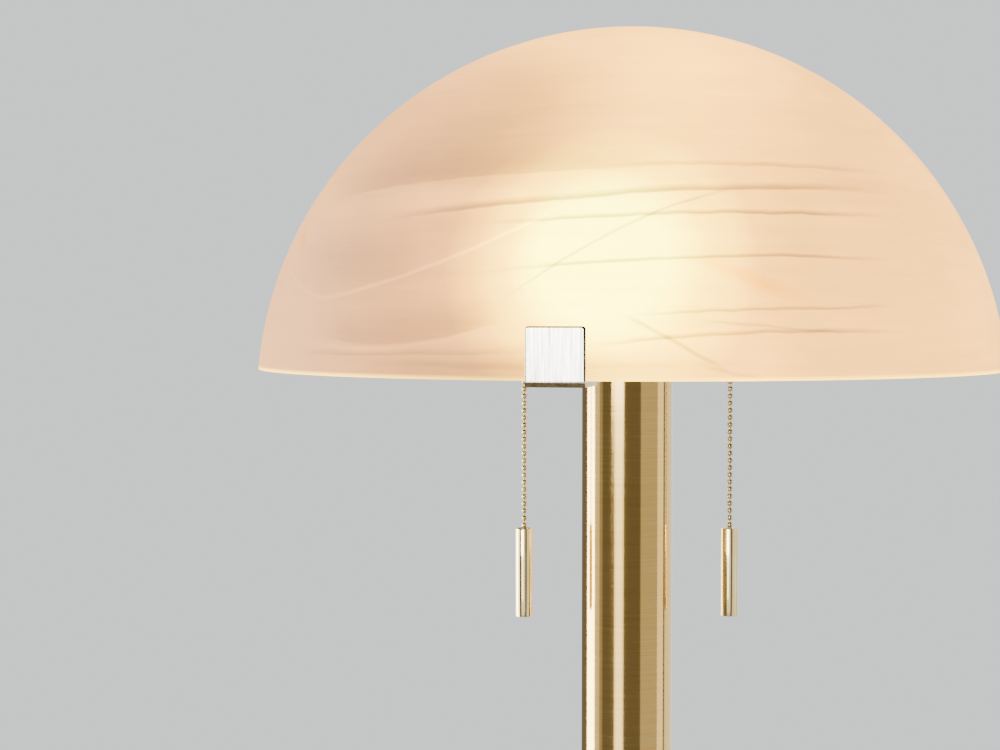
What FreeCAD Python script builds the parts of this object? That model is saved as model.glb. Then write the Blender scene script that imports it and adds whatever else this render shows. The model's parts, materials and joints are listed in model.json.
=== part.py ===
"""Dome-shade floor lamp with two pull-chain switches.

A weighted round base carries a two-piece brass column. A threaded pipe inside the column ties the
base, the column, a three-armed shade holder and the light cluster together. A spherical glass dome
rests on the three arms, inside their upturned square tabs. Two bulbs point to the front and the back
from a cluster inside the dome. Each has its own switch, whose ball chain hangs below the rim and
ends in a round brass pull.

Frame: millimetres, +Z up, origin on the floor on the column's axis. -Y is the front, the way one of
the bulbs points. Left is -X and right is +X. One of the holder's tabs stands a little left of the front.
"""

import FreeCAD
import Part
import math
import os

V = FreeCAD.Vector

# ---------------------------------------------------------------- driving sizes

TOTAL_H = 1600.0  # floor to the top of the glass
SHADE_R = 203.0  # outer radius of the glass sphere
SHADE_DROP = 18.0  # the rim is this far above the sphere's centre
GLASS_T = 4.3

BASE_R = 150.0
BASE_H = 20.0
COLUMN_R = 25.0
COLUMN_WALL = 1.2

TAB_W = 27.2  # upturned square tabs of the shade holder
TAB_H = 27.3
STRAP_T = 2.4
ARM_W = 16.0
ARM_ANGLES = (-104.0, 16.0, 136.0)

CHAIN_X = 57.0  # each chain hangs this far from the axis
BEAD_R = 1.6
BEAD_PITCH = 3.97
PULL_R = 4.8
PULL_L = 48.8
PULL_DROP = 89.0  # rim to the top of the pull

SOCKET_RISE = 55.0  # rim to the sockets' axis
BULB_R = 25.0
BULB_L = 90.0

FIT = 0.05  # radial gap of a push fit

# ---------------------------------------------------------------- derived places

SPHERE_Z = TOTAL_H - SHADE_R
RIM_Z = SPHERE_Z + SHADE_DROP
RIM_R = math.sqrt(SHADE_R**2 - SHADE_DROP**2)
PAD_T = 0.5
HOLDER_TOP = RIM_Z - PAD_T
HOLDER_Z = HOLDER_TOP - STRAP_T
TAB_IN = RIM_R + 0.8  # inner face of a tab

PIPE_R = 5.0
PIPE_BORE = 3.4
NUT_AF = 16.0
NUT_T = 5.5
WASHER_R = 10.5
WASHER_T = 1.5

FOOT_PAD_T = 2.0
SKIRT_Z = 1.4  # the base cover's lower edge
COVER_T = 1.5
FOOT_RING_R = 30.0
FOOT_RING_H = 7.0
COLUMN_Z = BASE_H + 2.5
CAP_T = 3.0
COLUMN_TOP = HOLDER_Z - CAP_T
JOINT_Z = 0.5 * (COLUMN_Z + COLUMN_TOP)
JOINT_H = 3.0
SPIGOT_R = COLUMN_R - COLUMN_WALL - FIT

BAR_Z = RIM_Z + 30.0
BAR_T = 2.5
CLUSTER_Z = BAR_Z + BAR_T
CLUSTER_R = 26.0
CLUSTER_H = 44.0
CLUSTER_T = 1.2
SOCKET_Z = RIM_Z + SOCKET_RISE

PULL_TOP = RIM_Z - PULL_DROP
LOWER_BEADS = 26
PIVOT_Z = PULL_TOP + 1.8 + LOWER_BEADS * BEAD_PITCH  # the chain bends here, in the bell's throat
DRUM_REACH = 6.5  # drum axis to the chain's centre line
DRUM_Z = CLUSTER_Z + 13.5
UPPER_BEADS = 7

SIDES = (("left", -1), ("right", 1))
ENDS = (("front", -1), ("back", 1))


# ---------------------------------------------------------------- helpers


def cyl(r, z0, z1, x=0.0, y=0.0):
    """Upright round bar from z0 to z1."""
    return Part.makeCylinder(r, z1 - z0, V(x, y, z0))


def tube(r_out, r_in, z0, z1, x=0.0, y=0.0):
    return cyl(r_out, z0, z1, x, y).cut(cyl(r_in, z0 - 1, z1 + 1, x, y))


def bar_y(r, y0, y1, x, z):
    """Round bar along Y."""
    return Part.makeCylinder(r, y1 - y0, V(x, y0, z), V(0, 1, 0))


def block(x0, x1, y0, y1, z0, z1):
    return Part.makeBox(x1 - x0, y1 - y0, z1 - z0, V(x0, y0, z0))


def hexagon(across_flats, z0, z1, x=0.0, y=0.0):
    corner = across_flats / math.sqrt(3.0)
    angles = [math.radians(60 * k + 30) for k in range(7)]
    points = [V(x + corner * math.cos(a), y + corner * math.sin(a), z0) for a in angles]
    return Part.Face(Part.makePolygon(points)).extrude(V(0, 0, z1 - z0))


def turned(start, *moves):
    """Solid of revolution about Z. A move is a point (r, z), or a pair of points for an arc."""
    here = V(start[0], 0, start[1])
    first = here
    edges = []
    for move in moves:
        if isinstance(move[0], tuple):
            middle, end = [V(p[0], 0, p[1]) for p in move]
            edges.append(Part.Arc(here, middle, end).toShape())
        else:
            end = V(move[0], 0, move[1])
            edges.append(Part.LineSegment(here, end).toShape())
        here = end
    if here.distanceToPoint(first) > 1e-7:
        edges.append(Part.LineSegment(here, first).toShape())
    return Part.Face(Part.Wire(edges)).revolve(V(0, 0, 0), V(0, 0, 1), 360)


def corner_arc(centre, radius, angle_from, angle_to):
    """Middle and end point of an arc about centre, angles in degrees from +r towards +z."""
    return tuple(
        (centre[0] + radius * math.cos(math.radians(a)), centre[1] + radius * math.sin(math.radians(a)))
        for a in (0.5 * (angle_from + angle_to), angle_to)
    )


def crown(r, z_edge, z_top):
    """Middle and end point of a shallow dome's arc, from (r, z_edge) up to the axis."""
    height = z_top - z_edge
    radius = (r * r + height * height) / (2 * height)
    half = 0.5 * math.asin(r / radius)
    return (radius * math.sin(half), z_top - radius + radius * math.cos(half)), (0, z_top)


def fused(shapes):
    first, rest = shapes[0], shapes[1:]
    return first.multiFuse(rest).removeSplitter() if rest else first


def turn_z(shape, degrees):
    copy = shape.copy()
    copy.rotate(V(0, 0, 0), V(0, 0, 1), degrees)
    return copy


def mirrored_x(shape):
    return shape.mirror(V(0, 0, 0), V(1, 0, 0))


def sided(shape, sign):
    """A piece drawn on the right, put on the right or mirrored to the left."""
    return shape if sign > 0 else mirrored_x(shape)


def aimed(shape, sign):
    """A piece drawn along +Z from the lamp's axis, laid along +Y or -Y at the sockets' height."""
    copy = shape.copy()
    copy.rotate(V(0, 0, 0), V(1, 0, 0), -90 * sign)
    copy.translate(V(0, 0, SOCKET_Z))
    return copy


# ---------------------------------------------------------------- base


def base_foot_pad():
    """Foam disc that the lamp stands on."""
    return cyl(BASE_R - 6.0, 0.0, FOOT_PAD_T)


GLAND_Z = 9.0
GLAND_BORE = 3.4
GLAND_R = 5.5


def base_cover():
    """Spun brass-finished pan with a rounded shoulder, over the weight."""
    round_out = 6.0
    round_in = round_out - COVER_T
    centre = (BASE_R - round_out, BASE_H - round_out)
    pan = turned(
        (PIPE_R + 0.2, BASE_H - COVER_T),
        (BASE_R - round_out, BASE_H - COVER_T),
        corner_arc(centre, round_in, 90, 0),
        (BASE_R - COVER_T, SKIRT_Z),
        (BASE_R, SKIRT_Z),
        (BASE_R, BASE_H - round_out),
        corner_arc(centre, round_out, 0, 90),
        (PIPE_R + 0.2, BASE_H),
    )
    hole = bar_y(GLAND_R + FIT, BASE_R - 12, BASE_R + 5, 0, GLAND_Z)
    return pan.cut(hole)


def base_weight():
    """Cast-iron disc, with a nut pocket and a cord channel to the back underneath."""
    top = BASE_H - COVER_T - 0.1
    disc = cyl(BASE_R - COVER_T - 6.5, FOOT_PAD_T, top)
    disc = disc.makeChamfer(2.0, [e for e in disc.Edges if e.BoundBox.ZMin > top - 0.01])
    pocket = cyl(16.0, FOOT_PAD_T - 1, FOOT_PAD_T + 8.0)
    channel = block(-5.0, 5.0, 0, BASE_R, FOOT_PAD_T - 1, GLAND_Z + 4.5)
    hole = cyl(PIPE_R + 0.2, 0, BASE_H)
    return disc.cut(pocket).cut(channel).cut(hole)


def base_fasteners():
    """Washer, toothed lock washer and hexagon nut on the tie pipe's lower end."""
    top = FOOT_PAD_T + 8.0
    washer = tube(WASHER_R, PIPE_R + FIT, top - WASHER_T, top)
    ring_top = top - WASHER_T
    lock = tube(8.4, PIPE_R + FIT, ring_top - 0.8, ring_top)
    teeth = 12
    for k in range(teeth):
        notch = block(7.4, 9.0, -0.5, 0.5, ring_top - 1.5, ring_top + 0.5)
        lock = lock.cut(turn_z(notch, 360.0 * k / teeth))
    nut_top = ring_top - 0.8
    nut = hexagon(NUT_AF, nut_top - 4.5, nut_top).cut(cyl(PIPE_R + FIT, 0, top))
    return Part.makeCompound([washer, lock, nut])


def cord_gland():
    """Rubber bush in the cover's back wall, where a mains cord would enter."""
    outer = BASE_R
    body = bar_y(GLAND_R, outer - 6.0, outer + 0.5, 0, GLAND_Z)
    flange_out = bar_y(GLAND_R + 1.4, outer + 0.1, outer + 2.0, 0, GLAND_Z)
    flange_out = flange_out.makeFillet(
        0.8, [e for e in flange_out.Edges if e.BoundBox.YMin > outer + 1.9]
    )
    flange_in = bar_y(GLAND_R + 1.2, outer - 5.8, outer - COVER_T - 0.3, 0, GLAND_Z)
    bore = bar_y(GLAND_BORE, outer - 10, outer + 5, 0, GLAND_Z)
    return fused([body, flange_out, flange_in]).cut(bore)


# ---------------------------------------------------------------- column


def column_foot_ring():
    """Turned collar that the column stands in."""
    rounding = 2.5
    top = BASE_H + FOOT_RING_H
    centre = (FOOT_RING_R - rounding, top - rounding)
    return turned(
        (PIPE_R + 0.2, BASE_H),
        (FOOT_RING_R, BASE_H),
        (FOOT_RING_R, top - rounding),
        corner_arc(centre, rounding, 0, 90),
        (COLUMN_R + FIT, top),
        (COLUMN_R + FIT, COLUMN_Z),
        (PIPE_R + 0.2, COLUMN_Z),
    )


def column_lower_tube():
    return tube(COLUMN_R, COLUMN_R - COLUMN_WALL, COLUMN_Z, JOINT_Z - JOINT_H / 2)


def column_upper_tube():
    return tube(COLUMN_R, COLUMN_R - COLUMN_WALL, JOINT_Z + JOINT_H / 2, COLUMN_TOP)


def column_joiner():
    """Spigots into both tubes, with a thin shadow-line ring between them and a bore for the coupling."""
    spigot = 28.0
    ring = cyl(COLUMN_R - 0.6, JOINT_Z - JOINT_H / 2, JOINT_Z + JOINT_H / 2)
    core = cyl(SPIGOT_R, JOINT_Z - spigot, JOINT_Z + spigot)
    return fused([ring, core]).cut(cyl(9.0, JOINT_Z - 2 * spigot, JOINT_Z + 2 * spigot))


def column_bottom_plug():
    """Disc that centres the tie pipe in the lower tube."""
    return tube(SPIGOT_R, PIPE_R + FIT, COLUMN_Z + 0.5, COLUMN_Z + 10.5)


def column_cap():
    """Lid of the upper tube, under the shade holder."""
    lid = cyl(COLUMN_R, COLUMN_TOP, HOLDER_Z)
    lid = lid.makeChamfer(0.4, [e for e in lid.Edges if e.BoundBox.ZMin > HOLDER_Z - 0.01])
    plug = cyl(SPIGOT_R, COLUMN_TOP - 9.0, COLUMN_TOP + 0.5)
    return fused([lid, plug]).cut(cyl(PIPE_R + FIT, COLUMN_TOP - 20, HOLDER_Z + 5))


PIPE_LOW_Z = FOOT_PAD_T + 0.6
PIPE_TOP_Z = CLUSTER_Z + 9.5
COUPLING_H = 24.0


def tie_pipe_lower():
    return tube(PIPE_R, PIPE_BORE, PIPE_LOW_Z, JOINT_Z - 0.2)


def tie_pipe_upper():
    return tube(PIPE_R, PIPE_BORE, JOINT_Z + 0.2, PIPE_TOP_Z)


def pipe_coupling():
    """Long hexagon nut that joins the two tie pipes."""
    z0, z1 = JOINT_Z - COUPLING_H / 2, JOINT_Z + COUPLING_H / 2
    return hexagon(14.0, z0, z1).cut(cyl(PIPE_R + FIT, z0 - 1, z1 + 1))


# ---------------------------------------------------------------- shade and its holder


def shade_holder():
    """Flat three-armed strap. Each arm widens at its end and turns up into a square tab."""
    tab_out = TAB_IN + STRAP_T
    strap = block(0, tab_out - 1, -ARM_W / 2, ARM_W / 2, HOLDER_Z, HOLDER_TOP)
    foot = block(170.0, tab_out, -TAB_W / 2, TAB_W / 2, HOLDER_Z, HOLDER_TOP)
    foot = foot.makeFillet(
        3.0, [e for e in foot.Edges if e.BoundBox.ZLength > 1 and e.BoundBox.XMax < 171]
    )
    tab = block(TAB_IN, tab_out, -TAB_W / 2, TAB_W / 2, HOLDER_Z, HOLDER_Z + TAB_H)
    tab = tab.makeFillet(
        1.4, [e for e in tab.Edges if e.BoundBox.XLength > 1 and e.BoundBox.ZMin > HOLDER_TOP]
    )
    end = foot.fuse(tab).removeSplitter()
    bend = [
        e
        for e in end.Edges
        if e.BoundBox.XMin > tab_out - 0.01 and e.BoundBox.ZMax < HOLDER_Z + 0.01 and e.BoundBox.YLength > 5
    ]
    end = end.makeFillet(STRAP_T - 0.2, bend)
    arm = fused([strap, end])
    hub = cyl(COLUMN_R, HOLDER_Z, HOLDER_TOP)
    arms = [turn_z(arm, angle) for angle in ARM_ANGLES]
    return fused([hub] + arms).cut(cyl(PIPE_R + 0.1, HOLDER_Z - 5, HOLDER_TOP + 5))


def shade_pads():
    """Three clear silicone angles that keep the glass off the metal."""
    width, depth, height, skin = 17.0, 16.0, 16.0, 0.5
    sole = block(TAB_IN - depth, TAB_IN - 0.02, -width / 2, width / 2, HOLDER_TOP, RIM_Z - 0.02)
    back = block(TAB_IN - skin, TAB_IN - 0.02, -width / 2, width / 2, HOLDER_TOP, HOLDER_TOP + height)
    pad = sole.fuse(back).removeSplitter()
    return Part.makeCompound([turn_z(pad, angle) for angle in ARM_ANGLES])


def glass_shade():
    """Glass dome, a little less than half a sphere, with a flat ground rim."""
    inner = SHADE_R - GLASS_T
    rim_in = math.sqrt(inner**2 - SHADE_DROP**2)
    half = math.radians(45)
    outer_mid = (SHADE_R * math.cos(half), SPHERE_Z + SHADE_R * math.sin(half))
    inner_mid = (inner * math.cos(half), SPHERE_Z + inner * math.sin(half))
    return turned(
        (rim_in, RIM_Z),
        (RIM_R, RIM_Z),
        (outer_mid, (0, SPHERE_Z + SHADE_R)),
        (0, SPHERE_Z + inner),
        (inner_mid, (rim_in, RIM_Z)),
    )


def holder_fasteners():
    """Washer and hexagon nut that clamp the shade holder on the column."""
    washer = tube(WASHER_R, PIPE_R + FIT, HOLDER_TOP, HOLDER_TOP + WASHER_T)
    z0 = HOLDER_TOP + WASHER_T
    nut = hexagon(NUT_AF, z0, z0 + NUT_T).cut(cyl(PIPE_R + FIT, z0 - 1, z0 + NUT_T + 1))
    return Part.makeCompound([washer, nut])


# ---------------------------------------------------------------- light cluster


def cluster_spacer():
    """Turned sleeve on the tie pipe, between the holder's nut and the switch bar."""
    return tube(8.0, PIPE_R + 0.2, HOLDER_TOP + WASHER_T + NUT_T, BAR_Z)


def switch_bar():
    """Cross strap that carries a switch at each end."""
    reach = CHAIN_X + 9.0
    strap = block(-reach, reach, -9.0, 9.0, BAR_Z, CLUSTER_Z)
    strap = strap.makeFillet(8.9, [e for e in strap.Edges if e.BoundBox.ZLength > 1])
    strap = strap.cut(cyl(PIPE_R + 0.1, BAR_Z - 1, CLUSTER_Z + 1))
    for _, sign in SIDES:
        strap = strap.cut(cyl(NOZZLE_R + FIT, BAR_Z - 1, CLUSTER_Z + 1, sign * CHAIN_X))
    return strap


def cluster_body():
    """Spun cup that houses the splices, with a side hole for each socket's nipple."""
    top = CLUSTER_Z + CLUSTER_H
    rounding = 3.0
    centre = (CLUSTER_R - rounding, CLUSTER_Z + rounding)
    inner = rounding - CLUSTER_T
    cup = turned(
        (PIPE_R + 0.1, CLUSTER_Z),
        (CLUSTER_R - rounding, CLUSTER_Z),
        corner_arc(centre, rounding, -90, 0),
        (CLUSTER_R, top),
        (CLUSTER_R - CLUSTER_T, top),
        (CLUSTER_R - CLUSTER_T, CLUSTER_Z + rounding),
        corner_arc(centre, inner, 0, -90),
        (PIPE_R + 0.1, CLUSTER_Z + CLUSTER_T),
    )
    cup = cup.cut(bar_y(NIPPLE_R + FIT, -40, 40, 0, SOCKET_Z))
    return cup.cut(Part.makeCylinder(CONDUIT_R + FIT, 80, V(-40, 0, CONDUIT_Z), V(1, 0, 0)))


def cluster_lid():
    """Domed push-on lid with a small knob."""
    top = CLUSTER_Z + CLUSTER_H
    lip_r = CLUSTER_R - CLUSTER_T - FIT
    rise = 6.0
    under, peak = crown(lip_r - CLUSTER_T, top, top + rise - CLUSTER_T)
    neck = top + rise
    return turned(
        peak,
        (under, (lip_r - CLUSTER_T, top)),
        (lip_r - CLUSTER_T, top - 4.0),
        (lip_r, top - 4.0),
        (lip_r, top),
        (CLUSTER_R + 0.6, top),
        (CLUSTER_R + 0.6, top + 1.0),
        ((CLUSTER_R * 0.55, top + rise * 0.78 + 0.6), (3.0, neck + 0.2)),
        (2.4, neck + 1.6),
        (4.2, neck + 2.8),
        (4.2, neck + 4.2),
        crown(4.2, neck + 4.2, neck + 6.4),
    )


NIPPLE_R = 5.0
SOCKET_START = 29.0  # lamp axis to the back of a socket's cap
CONDUIT_R = 3.0
CONDUIT_BORE = 2.0
CONDUIT_Z = CLUSTER_Z + 9.2


def cluster_nuts():
    """Hexagon nuts: on the tie pipe, on each socket's nipple and under each switch."""
    z0 = CLUSTER_Z + CLUSTER_T
    pieces = [hexagon(NUT_AF, z0, z0 + NUT_T).cut(cyl(PIPE_R + FIT, z0 - 1, z0 + NUT_T + 1))]
    nipple_nut = hexagon(14.0, 19.6, 23.2).cut(cyl(NIPPLE_R + FIT, 19, 25))
    pieces += [aimed(nipple_nut, sign) for _, sign in ENDS]
    switch_nut = hexagon(13.0, BAR_Z - 3.5, BAR_Z, CHAIN_X)
    switch_nut = switch_nut.cut(cyl(NOZZLE_R + FIT, BAR_Z - 5, BAR_Z + 1, CHAIN_X))
    pieces += [sided(switch_nut, sign) for _, sign in SIDES]
    return Part.makeCompound(pieces)


def cluster_nipples():
    """Short pipes through the cluster's wall: one into each socket's cap, one into each switch."""
    to_socket = tube(NIPPLE_R, PIPE_BORE, 19.0, SOCKET_START + 7.0)
    reach = HOUSING_X0 + HOUSING_T - 22.0
    to_switch = Part.makeCylinder(CONDUIT_R, reach, V(22, 0, CONDUIT_Z), V(1, 0, 0))
    to_switch = to_switch.cut(Part.makeCylinder(CONDUIT_BORE, 40, V(20, 0, CONDUIT_Z), V(1, 0, 0)))
    pieces = [aimed(to_socket, sign) for _, sign in ENDS]
    pieces += [sided(to_switch, sign) for _, sign in SIDES]
    return Part.makeCompound(pieces)


def wire_connectors():
    """Two twist-on connectors that join the sockets' leads in the cluster body."""
    cap = turned((2.4, 0), (4.4, 0), (4.0, 5.0), (3.0, 12.5), crown(3.0, 12.5, 14.0), (0, 6.0), (2.4, 6.0))
    pieces = []
    for _, sign in SIDES:
        piece = cap.copy()
        piece.rotate(V(0, 0, 0), V(0, 1, 0), 90 * sign)
        piece.translate(V(sign * 9.0, 0, SOCKET_Z))
        pieces.append(piece)
    return Part.makeCompound(pieces)


def lead(points, bend):
    """Insulated wire along points. Each inner point is a square corner, rounded to the radius bend."""
    edges = []
    here = points[0]
    for before, corner, after in zip(points, points[1:], points[2:]):
        towards = (corner - before).normalize() * bend
        away = (after - corner).normalize() * bend
        start, finish = corner - towards, corner + away
        slack = 1 - math.sqrt(0.5)
        middle = corner - towards * slack + away * slack
        edges.append(Part.LineSegment(here, start).toShape())
        edges.append(Part.Arc(start, middle, finish).toShape())
        here = finish
    edges.append(Part.LineSegment(here, points[-1]).toShape())
    section = Part.Wire([Part.Circle(points[0], points[1] - points[0], 0.85).toShape()])
    return Part.Wire(edges).makePipeShell([section], True, False)


def cluster_leads():
    """Insulated leads from the connectors, two to each socket's block and one to each switch."""
    inside = 13.0  # this end lies in a connector's bore
    pieces = []
    for _, side in SIDES:
        for _, end in ENDS:
            corner = V(side * 1.4, end * 1.1, SOCKET_Z)
            last = V(side * 1.4, end * (BLOCK_START - 0.1), SOCKET_Z)
            pieces.append(lead([V(side * inside, end * 1.1, SOCKET_Z), corner, last], 4.0))
        top = SOCKET_Z - 1.35
        route = [
            V(side * inside, 0, top),
            V(side * 6.5, 0, top),
            V(side * 6.5, 0, CONDUIT_Z),
            V(side * (HOUSING_X0 + 0.9), 0, CONDUIT_Z),
        ]
        pieces.append(lead(route, 3.0))
    return Part.makeCompound(pieces)


BLOCK_START = SOCKET_START + 9.0
SHELL_R = 16.5
SHELL_T = 0.5
SCREW_IN = 13.45
SCREW_T = 0.4
MOUTH = SOCKET_START + 50.0  # lamp axis to the open end of a socket


def socket_cap(sign):
    """Domed brass cap at the back of a socket."""
    s = SOCKET_START
    wall = 0.8
    cap = turned(
        (NIPPLE_R + FIT, s),
        (8.0, s),
        ((14.6, s + 3.4), (SHELL_R + wall + FIT, s + 12.0)),
        (SHELL_R + wall + FIT, s + 15.0),
        (SHELL_R + FIT, s + 15.0),
        (SHELL_R + FIT, s + 12.0),
        ((14.1, s + 4.2), (8.0, s + wall)),
        (NIPPLE_R + FIT, s + wall),
    )
    return aimed(cap, sign)


def socket_shell(sign):
    """Brass outer shell with a rolled mouth."""
    z0, z1 = SOCKET_START + 12.0, MOUTH
    roll = 0.9
    shell = turned(
        (SHELL_R - SHELL_T, z0),
        (SHELL_R, z0),
        (SHELL_R, z1 - 2 * roll),
        ((SHELL_R + roll, z1 - roll), (SHELL_R, z1)),
        (SHELL_R - SHELL_T, z1),
    )
    return aimed(shell, sign)


def socket_sleeves():
    """Insulating fibre sleeve inside each shell."""
    sleeve = tube(SHELL_R - SHELL_T - FIT, SHELL_R - SHELL_T - 0.9, SOCKET_START + 12.5, MOUTH - 1.0)
    return Part.makeCompound([aimed(sleeve, sign) for _, sign in ENDS])


def socket_blocks():
    """Moulded block with two terminal screws, behind each screw shell."""
    pieces = []
    z0, z1 = BLOCK_START, SOCKET_START + 25.0
    block_r = 13.0
    for _, sign in ENDS:
        step = cyl(8.6, z0, z0 + 3.5)
        flange = cyl(SHELL_R - SHELL_T - 0.95, z0 + 3.6, z0 + 5.4)
        body = fused([cyl(block_r, z0 + 3.5, z1), step, flange])
        for side in (-1, 1):
            seat = Part.makeCylinder(2.0, 3.0, V(side * (block_r - 2.0), 0, z0 + 8.0), V(side, 0, 0))
            body = body.cut(seat)
        pieces.append(aimed(body, sign))
    return Part.makeCompound(pieces)


def terminal_screws():
    """Two slotted screws in each terminal block."""
    pieces = []
    reach = 11.0
    for _, sign in ENDS:
        for side in (-1, 1):
            head = Part.makeCylinder(1.9, 1.5, V(side * (reach + 0.05), 0, BLOCK_START + 8.0), V(side, 0, 0))
            x0, x1 = sorted((side * (reach + 1.0), side * (reach + 2.0)))
            slot = block(x0, x1, -3, 3, BLOCK_START + 7.8, BLOCK_START + 8.2)
            pieces.append(aimed(head.cut(slot), sign))
    return Part.makeCompound(pieces)


def screw_shell(sign):
    """Brass cup that the bulb's cap goes into."""
    z0 = SOCKET_START + 25.0
    outer = SCREW_IN + SCREW_T
    shell = tube(outer, SCREW_IN, z0, MOUTH - 2.0)
    floor = tube(outer, 5.0, z0, z0 + SCREW_T)
    return aimed(fused([shell, floor]), sign)


def socket_contacts():
    """Sprung centre tongue of each socket."""
    z0 = SOCKET_START + 25.0
    button = turned((0, z0), (3.6, z0), (3.6, z0 + 1.0), crown(3.6, z0 + 1.0, z0 + 2.3))
    return Part.makeCompound([aimed(button, sign) for _, sign in ENDS])


BULB_START = SOCKET_START + 27.6  # lamp axis to the tip of a bulb's cap
BULB_CAP_R = 13.0
COLLAR_L = 22.0


def bulb_cap(sign):
    """Metal screw cap, black insulator and tip contact of a bulb, as three solids."""
    s = BULB_START
    tip = turned((0, s), (2.6, s + 0.5), (4.2, s + 1.6), (0, s + 1.6))
    glass = turned((0, s + 1.6), (4.2, s + 1.6), (11.0, s + 5.0), (0, s + 5.0))
    can = turned(
        (0, s + 5.0),
        (11.0, s + 5.0),
        (BULB_CAP_R, s + 7.0),
        (BULB_CAP_R, s + 24.0),
        (BULB_CAP_R - 0.4, s + 25.5),
        (0, s + 25.5),
    )
    return Part.makeCompound([aimed(piece, sign) for piece in (tip, glass, can)])


def bulb_collar(sign):
    """White heat-sink collar between a bulb's cap and its globe."""
    z0 = BULB_START + 25.5
    z1 = z0 + COLLAR_L
    collar = turned(
        (0, z0),
        (BULB_CAP_R + 0.4, z0),
        ((16.2, z0 + 9.0), (20.6, z1)),
        (0, z1),
    )
    return aimed(collar, sign)


def bulb_globe(sign):
    """Frosted globe of a bulb."""
    z0 = BULB_START + 25.5 + COLLAR_L
    top = BULB_START + BULB_L
    centre_z = top - BULB_R
    globe = turned(
        (0, z0),
        (20.4, z0),
        ((23.3, 0.55 * z0 + 0.45 * centre_z), (BULB_R, centre_z)),
        corner_arc((0, centre_z), BULB_R, 0, 90),
    )
    return aimed(globe, sign)


# ---------------------------------------------------------------- pull-chain switches

NOZZLE_R = 4.6
NOZZLE_BORE = 2.3
NOZZLE_END = RIM_Z + 20.0
HOUSING_X0 = 41.0
HOUSING_X1 = 62.0
HOUSING_Y = 9.0
HOUSING_T = 1.5
HOUSING_TOP = CLUSTER_Z + 26.0
DRUM_X = CHAIN_X - DRUM_REACH
AXLE_R = 1.5


def switch_housing(sign):
    """Moulded box on the bar, open at the top, with bearing holes for the drum's axle."""
    outer = block(HOUSING_X0, HOUSING_X1, -HOUSING_Y, HOUSING_Y, CLUSTER_Z, HOUSING_TOP - HOUSING_T)
    outer = outer.makeFillet(1.2, [e for e in outer.Edges if e.BoundBox.ZLength > 5])
    t = HOUSING_T
    hollow = block(
        HOUSING_X0 + t, HOUSING_X1 - t, -HOUSING_Y + t, HOUSING_Y - t, CLUSTER_Z + t, HOUSING_TOP
    )
    box = outer.cut(hollow)
    box = box.cut(bar_y(AXLE_R + FIT, -HOUSING_Y - 1, HOUSING_Y + 1, DRUM_X, DRUM_Z))
    box = box.cut(cyl(NOZZLE_R + FIT, CLUSTER_Z - 1, CLUSTER_Z + t + 1, CHAIN_X))
    box = box.cut(Part.makeCylinder(CONDUIT_R + FIT, 5, V(HOUSING_X0 - 2, 0, CONDUIT_Z), V(1, 0, 0)))
    return sided(box, sign)


def switch_lids():
    """A moulded lid on each switch housing."""
    z0 = HOUSING_TOP - HOUSING_T
    t = HOUSING_T + 0.1
    lid = block(HOUSING_X0, HOUSING_X1, -HOUSING_Y, HOUSING_Y, z0, HOUSING_TOP)
    lid = lid.makeFillet(1.2, [e for e in lid.Edges if e.BoundBox.ZLength > 1])
    lip = block(HOUSING_X0 + t, HOUSING_X1 - t, -HOUSING_Y + t, HOUSING_Y - t, z0 - 1.2, z0 + 0.2)
    lid = fused([lid, lip])
    return Part.makeCompound([sided(lid, sign) for _, sign in SIDES])


def switch_nozzles():
    """A threaded brass bush through the bar under each housing, which guides the chain."""
    z1 = CLUSTER_Z + HOUSING_T
    nozzle = tube(NOZZLE_R, NOZZLE_BORE, NOZZLE_END, z1, CHAIN_X)
    return Part.makeCompound([sided(nozzle, sign) for _, sign in SIDES])


def chain_bell(sign):
    """Trumpet-mouthed guide on the nozzle's end. The chain swings from its throat."""
    flare = 4.0
    wall = 0.7
    seat = NOZZLE_END + 3.0
    mouth_z = PIVOT_Z - flare
    half = math.sqrt(0.5)
    throat = NOZZLE_BORE
    inner = ((throat + flare * (1 - half), PIVOT_Z - flare * half), (throat, PIVOT_Z))
    outer_r = flare - wall
    outer_mid = (throat + flare - outer_r * half, PIVOT_Z - outer_r * half)
    bell = turned(
        (throat + flare, mouth_z),
        inner,
        (throat, NOZZLE_END - 0.05),
        (NOZZLE_R + FIT, NOZZLE_END - 0.05),
        (NOZZLE_R + FIT, seat),
        (NOZZLE_R + wall + 0.3, seat),
        (NOZZLE_R + wall + 0.3, NOZZLE_END - 0.8),
        (throat + wall + 0.9, PIVOT_Z + 1.2),
        (throat + wall, PIVOT_Z),
        (outer_mid, (throat + flare, mouth_z + wall)),
    )
    bell.translate(V(CHAIN_X, 0, 0))
    return sided(bell, sign)


def chain_drum(sign):
    """Flanged spool with the chain's last beads wound on it. A pull of the chain turns it."""
    floor_r, flange_r, gap, flange_t = 4.92, 7.2, 1.9, 0.9
    pieces = [bar_y(floor_r, -gap, gap, 0, 0)]
    for y0 in (-gap - flange_t, gap):
        pieces.append(bar_y(flange_r, y0, y0 + flange_t, 0, 0))
    pieces.append(bar_y(3.0, gap, 6.6, 0, 0))
    first = PIVOT_Z + (UPPER_BEADS + 1) * BEAD_PITCH - DRUM_Z
    for k in range(5):
        angle = (first + k * BEAD_PITCH) / DRUM_REACH
        place = V(DRUM_REACH * math.cos(angle), 0, DRUM_REACH * math.sin(angle))
        pieces.append(Part.makeSphere(BEAD_R, place))
    drum = fused(pieces).cut(bar_y(AXLE_R + 0.04, -10, 10, 0, 0))
    drum.translate(V(DRUM_X, 0, DRUM_Z))
    return sided(drum, sign)


def drum_axles():
    axle = bar_y(AXLE_R, -HOUSING_Y + 0.3, HOUSING_Y - 0.3, DRUM_X, DRUM_Z)
    return Part.makeCompound([sided(axle, sign) for _, sign in SIDES])


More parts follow.
